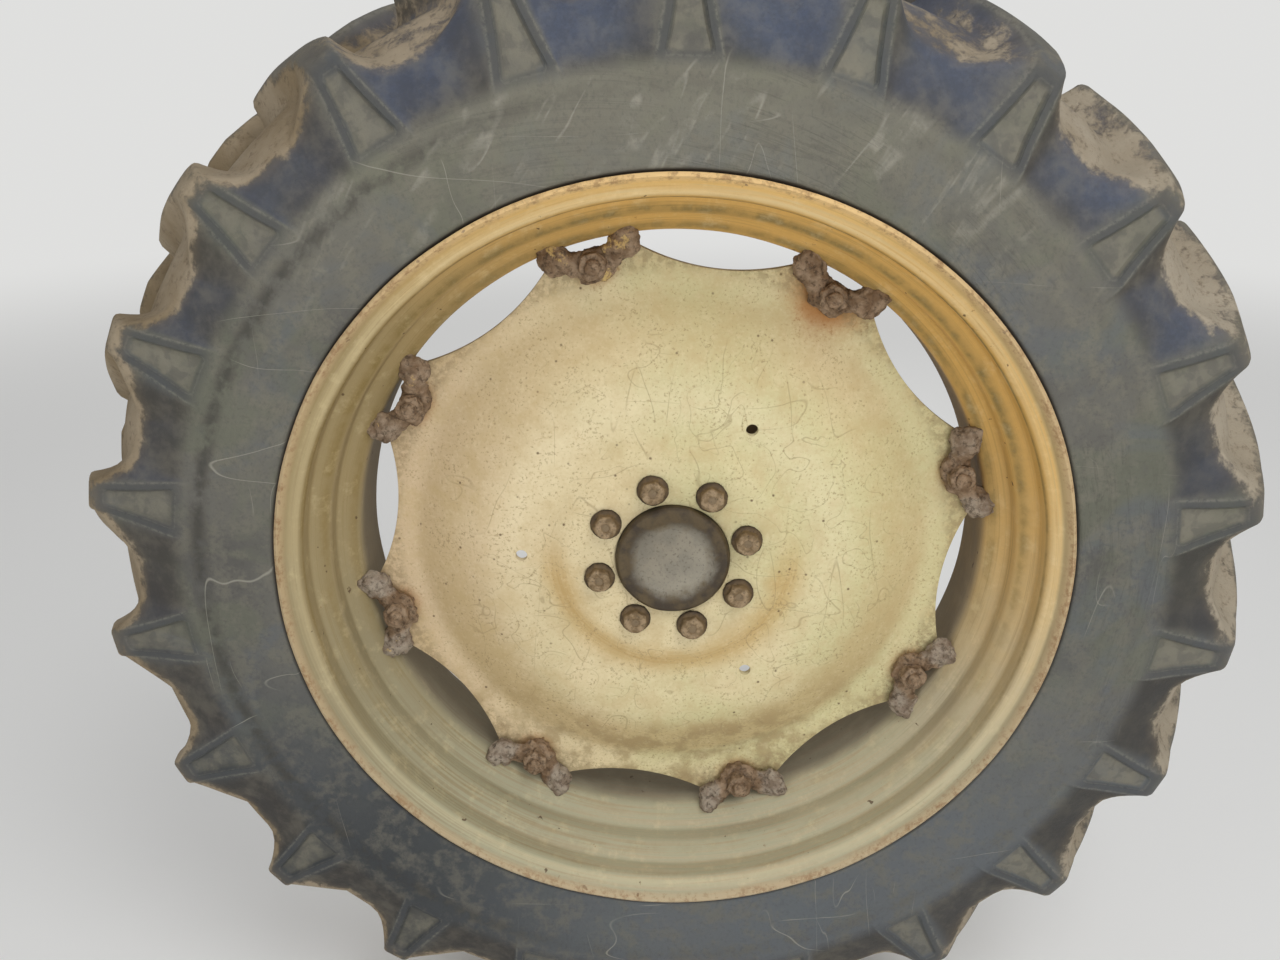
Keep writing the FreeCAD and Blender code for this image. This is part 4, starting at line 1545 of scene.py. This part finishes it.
@dataclass
class Disc:
    """Dished wheel disc with eight corners and scallops between them."""

    thickness: float = 10.0
    edge: float = 1.4
    dents: Triple = (1.3, 95.0, 11)
    corner_r: float = 413.0
    corner_half: float = 54.0
    floor_r: float = 378.0
    flat_r: float = 358.0
    edge_rings: int = 6
    per_corner: int = 56
    hole_r: float = 8.0
    hole_circle_r: float = 203.0
    hole_phase: float = 60.3
    hole_span: Pair = (-500.0, -420.0)
    holes: int = 3
    # Columns: r, y of the front face
    front: tuple[Pair, ...] = (
        (76.2, -468.6), (78.0, -470.0), (110.0, -470.0), (138.0, -469.8), (147.0, -468.6),
        (156.0, -465.3), (164.0, -462.0), (173.0, -460.2), (205.0, -460.0), (238.0, -459.8),
        (252.0, -458.0), (268.0, -453.0), (290.0, -443.5), (312.0, -432.5), (330.0, -422.5),
        (343.0, -415.2), (352.0, -412.5), (358.0, -412.0),
    )

    def outline_r(self, angle: float) -> float:
        """Outer radius of the disc, scalloped between its corners.

        Args:
            angle: the angle in radians.

        Returns:
            The radius in millimetres.
        """
        step = 2 * pi / CORNERS
        off = (angle - radians(CORNER_PHASE)) % step - step / 2
        gap = step / 2 - self.corner_half / self.corner_r
        chord = self.corner_r * sin(gap)
        fall = self.corner_r * cos(gap) - self.floor_r
        bow = (chord ** 2 + fall ** 2) / (2 * fall)
        away = self.floor_r + bow
        side = away * sin(off)
        if abs(side) >= bow:
            return self.corner_r
        return min(self.corner_r, away * cos(off) - sqrt(bow ** 2 - side ** 2))

    def build(self) -> bpy.types.Object:
        """Rings extruded outwards from the bore, then thickened, drilled and dressed.

        Returns:
            The disc.
        """
        count = CORNERS * self.per_corner
        turn = [2 * pi * k / count for k in range(count)]
        start_r, start_y = self.front[0]
        ring = [Vector((start_r * cos(a), start_y, start_r * sin(a))) * MM for a in turn]
        work = Work.outline("dished_disc", ring)
        work.edit()
        last_r, last_y = start_r, start_y
        for r, y in self.front[1:]:
            self.extrude_ring(r / last_r, (y - last_y) * MM)
            last_r, last_y = r, y
        for ring_number in range(self.edge_rings):
            self.extrude_ring(1.0, 0.0)
            self.shape_edge(work, (ring_number + 1) / self.edge_rings)
        work.tidied()
        self.face_outboard(work)
        work.roughened(self.dents)
        work.modified("SOLIDIFY", thickness=self.thickness * MM, offset=-1.0, use_even_offset=True)
        work.bevelled(self.edge, 2, 50.0)
        drill = Work.rod("drill", 40, self.hole_r, self.hole_span, self.hole_circle_r)
        work.cut_by(drill.repeated(self.holes, self.hole_phase)).smooth(40.0)
        return work.handed_over(DiscPaint(), Body.WHEEL, "disc_paint", "wheel_disc")

    @staticmethod
    def extrude_ring(scale: float, shift: float) -> None:
        """Extrudes the selected ring, then widens and shifts it."""
        bpy.ops.mesh.extrude_edges_move(TRANSFORM_OT_translate={"value": (0, shift, 0)})
        bpy.ops.transform.resize(value=(scale, 1, scale), center_override=(0, 0, 0))

    def shape_edge(self, work: Work, share: float) -> None:
        """Moves the selected ring towards the disc's outline.

        Args:
            work: the disc, in edit mode.
            share: how far along the way to the outline, from 0 to 1.
        """
        mesh = bmesh.from_edit_mesh(work.piece.data)
        for vertex in mesh.verts:
            if vertex.select:
                angle = atan2(vertex.co.z, vertex.co.x)
                r = (self.flat_r + (self.outline_r(angle) - self.flat_r) * share) * MM
                vertex.co.x, vertex.co.z = r * cos(angle), r * sin(angle)
        bmesh.update_edit_mesh(work.piece.data)

    @staticmethod
    def face_outboard(work: Work) -> None:
        """Turns the sheet's faces to the outboard side.

        Args:
            work: the disc.
        """
        work.edit()
        mesh = bmesh.from_edit_mesh(work.piece.data)
        mesh.faces.ensure_lookup_table()
        if sum(face.normal.y for face in mesh.faces) > 0:
            bpy.ops.mesh.flip_normals()
        bpy.ops.object.mode_set(mode="OBJECT")


@dataclass
class Lugs:
    """Eight lugs welded in the rim's well, each with two lumpy feet and a tongue over a corner."""

    thickness: float = 14.0
    foot_z: float = 47.0
    voxel: float = 2.0
    smoothing: float = 0.6
    # Where dirt starts on a foot and over what length it grows, as shares of foot_z
    dirt_start: float = 0.5
    dirt_growth: float = 0.3
    # Columns: r, y behind the plate's face, z and half sizes along r, y and z, of one side's lumps
    lumps: tuple[tuple[float, ...], ...] = (
        (413.0, 2.0, 45.0, 21.0, 15.0, 21.0), (420.0, -4.0, 52.0, 15.0, 11.0, 14.0),
        (408.0, -3.0, 36.0, 14.0, 10.0, 14.0), (402.0, 0.0, 25.0, 16.0, 9.0, 15.0),
        (392.0, 2.0, 12.0, 19.0, 9.0, 15.0), (430.0, -4.0, 53.0, 8.0, 7.0, 12.0),
        (430.0, 4.0, 53.0, 8.0, 7.0, 12.0), (430.0, 12.0, 53.0, 8.0, 7.0, 12.0),
    )
    # Columns: height, size and the first lug's seed
    scale: tuple[Triple, ...] = ((4.2, 21.0, 20), (3.0, 8.0, 40), (1.2, 3.6, 90))
    painted: dict[int, float] = field(default_factory=lambda: {3: 0.06, 4: 0.02, 5: 0.01})
    # Columns: r, z and corner radius of one half of the tongue and wing
    half: tuple[Triple, ...] = (
        (373.0, 9.0, 7.0), (386.0, 21.0, 9.0), (399.0, 27.0, 12.0), (405.0, 56.0, 10.0),
        (423.0, 62.0, 8.0), (428.0, 34.0, 6.0), (416.0, 24.0, 8.0), (413.5, 10.0, 6.0),
    )

    def plate(self) -> Work:
        """The flat part, from its outline.

        Returns:
            The plate.
        """
        other = [(r, -z, radius) for r, z, radius in reversed(self.half)]
        line = rounded(list(self.half) + other, closed=True, arc_points=4)
        work = Work.outline("corner_lug", [Vector((r, LUG_FACE_Y, z)) * MM for r, z in line])
        work.edit()
        bpy.ops.mesh.edge_face_add()
        move = {"value": (0, self.thickness * MM, 0)}
        bpy.ops.mesh.extrude_region_move(TRANSFORM_OT_translate=move)
        return work.tidied()

    @staticmethod
    def lump(place: Sequence[float], size: Sequence[float]) -> Work:
        """Rounded lump of a foot or a weld, its place and its half sizes along r, y and z."""
        work = Work.start("lump", Primitive.SPHERE, segments=20, ring_count=12, radius=MM)
        return work.placed(Matrix.Translation(Vector(place) * MM) @ Matrix.Diagonal((*size, 1)))

    def build(self) -> list[bpy.types.Object]:
        """One lug is shaped, then copied, and each copy is roughened with seeds of its own.

        Returns:
            The eight lugs.
        """
        lumps = [self.lump((r, LUG_FACE_Y + y, side * z), size)
                 for side in (-1, 1) for r, y, z, *size in self.lumps]
        lug = self.plate().joined(lumps)
        lug.modified("REMESH", mode="VOXEL", voxel_size=self.voxel * MM)
        lug.modified("SMOOTH", factor=self.smoothing, iterations=3)
        out = np.abs(lug.points("vertices", "co")[:, 2]) / MM / self.foot_z
        lug.noted("foot", np.clip((out - self.dirt_start) / self.dirt_growth, 0.0, 1.0))
        pieces = []
        for k in range(CORNERS):
            work = lug.copied(CORNER_PHASE + 360.0 * k / CORNERS)
            work.roughened(*[(height, size, seed + k) for height, size, seed in self.scale]).smooth(60.0)
            number = k + 1
            work.piece.name = f"corner_lug_{number}"
            finish = Rust(f"rusty_lug_{number}", painted=self.painted.get(number, 0.0))
            pieces.append(work.handed_over(finish, Body.WHEEL, "lug_paint", f"rim_lug_{number}"))
        bpy.data.objects.remove(lug.piece)
        return pieces


def hexagonal_nut(name: str, flats: float, low_y: float, high_y: float, chamfer: float) -> Work:
    """Hexagonal nut on the Y axis with its outboard corners turned off.

    Args:
        name: the new object's name.
        flats: millimetres across the flats.
        low_y: Y of the outboard face in millimetres.
        high_y: Y of the inboard face in millimetres.
        chamfer: how far the turning reaches along the nut in millimetres.

    Returns:
        The nut.
    """
    across = flats / sqrt(3)
    envelope = [(0, low_y - 1), (flats / 2 - 1.5, low_y - 1), (flats / 2 - 0.5, low_y),
                (across + 0.5, low_y + chamfer), (across + 0.5, high_y + 1), (0, high_y + 1)]
    nut = Work.rod(name, 6, across, (low_y, high_y))
    return nut.cut_by(Work.turned("envelope", envelope, 48), "INTERSECT")


@dataclass
class ClampFasteners:
    """Bolts and nuts that clamp the disc's corners to the lugs."""

    circle_r: float = 396.0
    nut_t: float = 20.0
    bolt_r: float = 10.0
    proud: float = 9.0
    flats: float = 33.0
    back_y: float = -402.0
    head_t: float = 13.0
    voxel: float = 1.3

    def scaled(self, work: Work, seed: int) -> Work:
        """Rust scale on a fastener.

        Args:
            work: the fastener, still on the wheel's axis.
            seed: the seed of its first noise.

        Returns:
            The whole set of fasteners.
        """
        work.modified("REMESH", mode="VOXEL", voxel_size=self.voxel * MM)
        work.roughened((2.4, 9.0, seed), (1.1, 3.5, seed + 1))
        work.placed(Matrix.Translation((self.circle_r * MM, 0, 0))).smooth(60.0)
        return work.repeated(CORNERS, CORNER_PHASE)

    def build(self) -> list[bpy.types.Object]:
        """The nuts, then the bolts with their heads.

        Returns:
            The set of nuts and the set of bolts.
        """
        nut_y = LUG_FACE_Y - self.nut_t
        nut = self.scaled(hexagonal_nut("clamp_nut_set", self.flats, nut_y, LUG_FACE_Y, 4.0), 60)
        tip_y = nut_y - self.proud
        shank = [(0, tip_y), (self.bolt_r - 3, tip_y), (self.bolt_r, tip_y + 3),
                 (self.bolt_r, self.back_y), (0, self.back_y)]
        bolt = Work.turned("clamp_bolt_set", shank, 32)
        head = hexagonal_nut("head", self.flats, self.back_y, self.back_y + self.head_t, 0.5)
        bolt = self.scaled(bolt.joined([head]), 63)
        rust = Rust("scaly_rust", scale=1.3)
        return [nut.handed_over(rust, Body.WHEEL, "rusty_steel", "clamp_nuts"),
                bolt.handed_over(rust, Body.WHEEL, "rusty_steel", "clamp_bolts")]


@dataclass
class WheelNuts:
    """Eight wheel nuts with round collars."""

    face_y: float = -470.0
    collar_r: float = 20.8
    collar_t: float = 7.0
    flats: float = 30.0
    height: float = 18.0
    voxel: float = 1.2
    scale: tuple[Triple, ...] = ((0.9, 8.0, 71), (0.4, 3.0, 72))
    # Columns: radius and distance from the nut's tip, of the hollow for the stud
    hollow: tuple[Pair, ...] = ((0, -2), (6.5, -2), (6.5, 1), (3.5, 4.5), (0, 4.5))

    def build(self) -> bpy.types.Object:
        """Collar and hexagon run together, with a hollow in the middle for the stud's end.

        Returns:
            The set of nuts.
        """
        tip_y, top_y = self.face_y - self.height, self.face_y - self.collar_t
        collar = [(0, self.face_y), (self.collar_r, self.face_y), (self.collar_r, top_y + 2),
                  (self.collar_r - 3, top_y), (0, top_y)]
        work = Work.turned("wheel_nut_set", collar, 48)
        body = hexagonal_nut("body", self.flats, tip_y, self.face_y - 2, 7.0)
        body.cut_by(Work.turned("hollow", [(r, tip_y + y) for r, y in self.hollow], 32))
        work.joined([body]).modified("REMESH", mode="VOXEL", voxel_size=self.voxel * MM)
        work.modified("SMOOTH", factor=0.5, iterations=2)
        work.roughened(*self.scale).placed(Matrix.Translation((STUD_CIRCLE_R * MM, 0, 0)))
        work.smooth(60.0).repeated(STUDS, STUD_PHASE)
        return work.handed_over(NutSteel(), Body.WHEEL, "nut_steel", "wheel_nuts")


@dataclass
class Axle:
    """Half shaft with its wheel flange, studs and dished pilot."""

    seat_y: float = -460.0
    pilot_y: float = -481.0
    pilot_r: float = 75.9
    flange_r: float = 130.0
    flange_y: float = -435.0
    neck_r: float = 62.0
    shaft_r: float = 40.0
    end_y: float = -6.0
    stud_r: float = 9.0
    stud_tip_y: float = -486.0
    wear: Triple = (0.7, 26.0, 81)
    steps: int = 128

    def build(self) -> bpy.types.Object:
        """Turned in one, with the studs set in the flange.

        Returns:
            The shaft.
        """
        corners = [
            (0, self.pilot_y + 5.5, 0), (44, self.pilot_y + 4.6, 8), (57, self.pilot_y + 0.6, 5),
            (self.pilot_r - 4, self.pilot_y, 2.5), (self.pilot_r, self.pilot_y + 4, 3),
            (self.pilot_r, self.seat_y, 0), (self.flange_r, self.seat_y, 2.5),
            (self.flange_r, self.flange_y, 4), (self.neck_r, self.flange_y, 3),
            (self.shaft_r, self.flange_y + 6, 2), (self.shaft_r, self.end_y, 2), (0, self.end_y, 0),
        ]
        work = Work.turned("half_shaft", rounded(corners), self.steps).roughened(self.wear)
        stud = Work.rod("stud", 24, self.stud_r, (self.stud_tip_y, self.seat_y), STUD_CIRCLE_R)
        work.joined([stud.bevelled(1.0).repeated(STUDS, STUD_PHASE)]).smooth(40.0)
        return work.handed_over(DuskySteel(), Body.WHEEL, "axle_steel", "axle_shaft")


@dataclass
class Housing:
    """Cast axle housing: boss, tube, flare and bolting flange."""

    end_y: float = -427.0
    boss_r: float = 92.0
    boss_end_y: float = -335.0
    tube_y: float = -295.0
    tube_r: float = 70.0
    flare_y: float = -62.0
    flare_r: float = 104.0
    flange_t: float = 22.0
    flange_r: float = 160.0
    bore_r: float = 54.0
    shaft_bore_r: float = 40.05
    end_wall: float = 14.0
    hole_r: float = 8.75
    hole_circle_r: float = 141.0
    hole_span: Pair = (-41.0, 19.0)
    holes: int = 8
    steps: int = 160

    def build(self) -> bpy.types.Object:
        """Turned casting with its flange drilled.

        Returns:
            The housing.
        """
        wall_y = self.end_y + self.end_wall
        corners = [
            (self.shaft_bore_r, self.end_y, 1.5), (self.boss_r, self.end_y, 6),
            (self.boss_r, self.boss_end_y, 14), (self.tube_r, self.tube_y, 24),
            (self.tube_r, self.flare_y, 24), (self.flare_r, -self.flange_t, 9),
            (self.flange_r, -self.flange_t, 3), (self.flange_r, 0, 1.5), (self.bore_r, 0, 2),
            (self.bore_r, wall_y, 4), (self.shaft_bore_r, wall_y, 1.5),
        ]
        work = Work.turned("cast_housing", rounded(corners, closed=True), self.steps)
        drill = Work.rod("drill", 32, self.hole_r, self.hole_span, self.hole_circle_r)
        work.cut_by(drill.repeated(self.holes, 180.0 / self.holes)).smooth(35.0)
        return work.handed_over(CastIron(), Body.HOUSING, "housing_iron", "axle_housing")


@dataclass
class Valve:
    """Valve stem on the floor of the rim's well."""

    angle: float = 97.0
    floor_r: float = 425.7
    # Columns: radius, distance from the foot
    profile: tuple[Pair, ...] = (
        (0, 0), (6, 0), (6, 3), (4.4, 7), (3.8, 22), (4.6, 23), (4.6, 32), (3.6, 34), (0, 34),
    )

    def build(self) -> bpy.types.Object:
        """Turned base, stem and cap in one, laid along the radius.

        Returns:
            The valve stem.
        """
        work = Work.turned("tyre_valve", self.profile, 32).bevelled(0.4)
        lay = Matrix.Translation((self.floor_r * MM, CENTRE_Y * MM, 0)) @ Matrix.Rotation(pi / 2, 4, "Z")
        work.placed(spun(self.angle) @ lay).smooth(40.0)
        return work.handed_over(ValveRubber(), Body.WHEEL, "valve_rubber", "valve_stem")


@dataclass
class Studio:
    """Camera, lights, floor and backdrop."""

    camera_place: Triple = (-0.034, -1.851, 0.639)
    azimuth: float = -0.4
    down: float = 20.9
    lens: float = 32.03
    sensor: float = 36.0
    floor_z: float = -0.775
    floor_size: float = 40.0
    world_level: float = 0.39
    backdrop: Colour = Floor.backdrop
    # Columns: name, place, aim, size, power
    lights: tuple[tuple[str, Triple, Triple, float, float], ...] = (
        ("key", (1.2, -2.6, 3.2), (0.0, -0.4, 0.0), 2.2, 58.0),
        ("fill", (-3.4, -2.8, 1.2), (0.0, -0.4, 0.0), 2.4, 16.0),
        ("front", (0.9, -4.4, 0.35), (0.0, -0.4, 0.1), 1.9, 50.0),
        ("back", (0.5, 3.2, 2.6), (0.0, -0.3, 0.0), 2.4, 46.0),
    )

    def build(self) -> None:
        """Sets up everything that isn't part of the wheel."""
        self.set_camera()
        self.set_lights()
        self.set_world()
        self.set_floor()
        bpy.context.scene.view_settings.view_transform = "Standard"

    @staticmethod
    def hung(data: bpy.types.ID, place: Triple, turn: Sequence[float]) -> bpy.types.Object:
        """Camera or light in its place, turned by angles in radians.

        Args:
            data: the camera or light.
            place: its place in metres.
            turn: its angles.

        Returns:
            The object.
        """
        thing = bpy.data.objects.new(data.name, data)
        thing.location = place
        thing.rotation_euler = turn
        bpy.context.collection.objects.link(thing)
        return thing

    def set_camera(self) -> None:
        """Camera at the photograph's viewpoint."""
        camera = bpy.data.cameras.new("camera")
        camera.lens = self.lens
        camera.sensor_width = self.sensor
        turn = (radians(90.0 - self.down), 0.0, radians(-self.azimuth))
        bpy.context.scene.camera = self.hung(camera, self.camera_place, turn)

    def set_lights(self) -> None:
        """Soft area lights and an even world."""
        for name, place, aim, size, power in self.lights:
            light = bpy.data.lights.new(name, "AREA")
            light.shape = "DISK"
            light.size = size
            light.energy = power
            self.hung(light, place, (Vector(aim) - Vector(place)).to_track_quat("-Z", "Y").to_euler())

    def set_world(self) -> None:
        """Even light from all round, and a plain pale backdrop for the camera."""
        world = bpy.data.worlds.new("studio")
        world.use_nodes = True
        tree = world.node_tree
        seen = tree.nodes.new("ShaderNodeLightPath").outputs["Is Camera Ray"]
        blend = tree.nodes.new("ShaderNodeMix")
        blend.data_type = "RGBA"
        blend.inputs[6].default_value = (*[self.world_level] * 3, 1.0)
        blend.inputs[7].default_value = self.backdrop
        tree.links.new(seen, blend.inputs[0])
        tree.links.new(blend.outputs[2], tree.nodes["Background"].inputs["Color"])
        bpy.context.scene.world = world

    def set_floor(self) -> None:
        """Pale floor under the tyre."""
        floor = Work.start("floor", Primitive.GRID, x_subdivisions=2, y_subdivisions=2,
                           size=self.floor_size, location=(0, 0, self.floor_z))
        floor.piece.data.materials.append(Floor().material())


def main() -> None:
    """Builds the studio and every sub-assembly, and notes the sizes."""
    logging.basicConfig(level=logging.INFO, format="%(name)s %(message)s")
    Studio().build()
    for assembly in (Tyre, Rim, Disc, Lugs, ClampFasteners, WheelNuts, Axle, Housing, Valve):
        assembly().build()


if __name__ == "__main__":
    main()
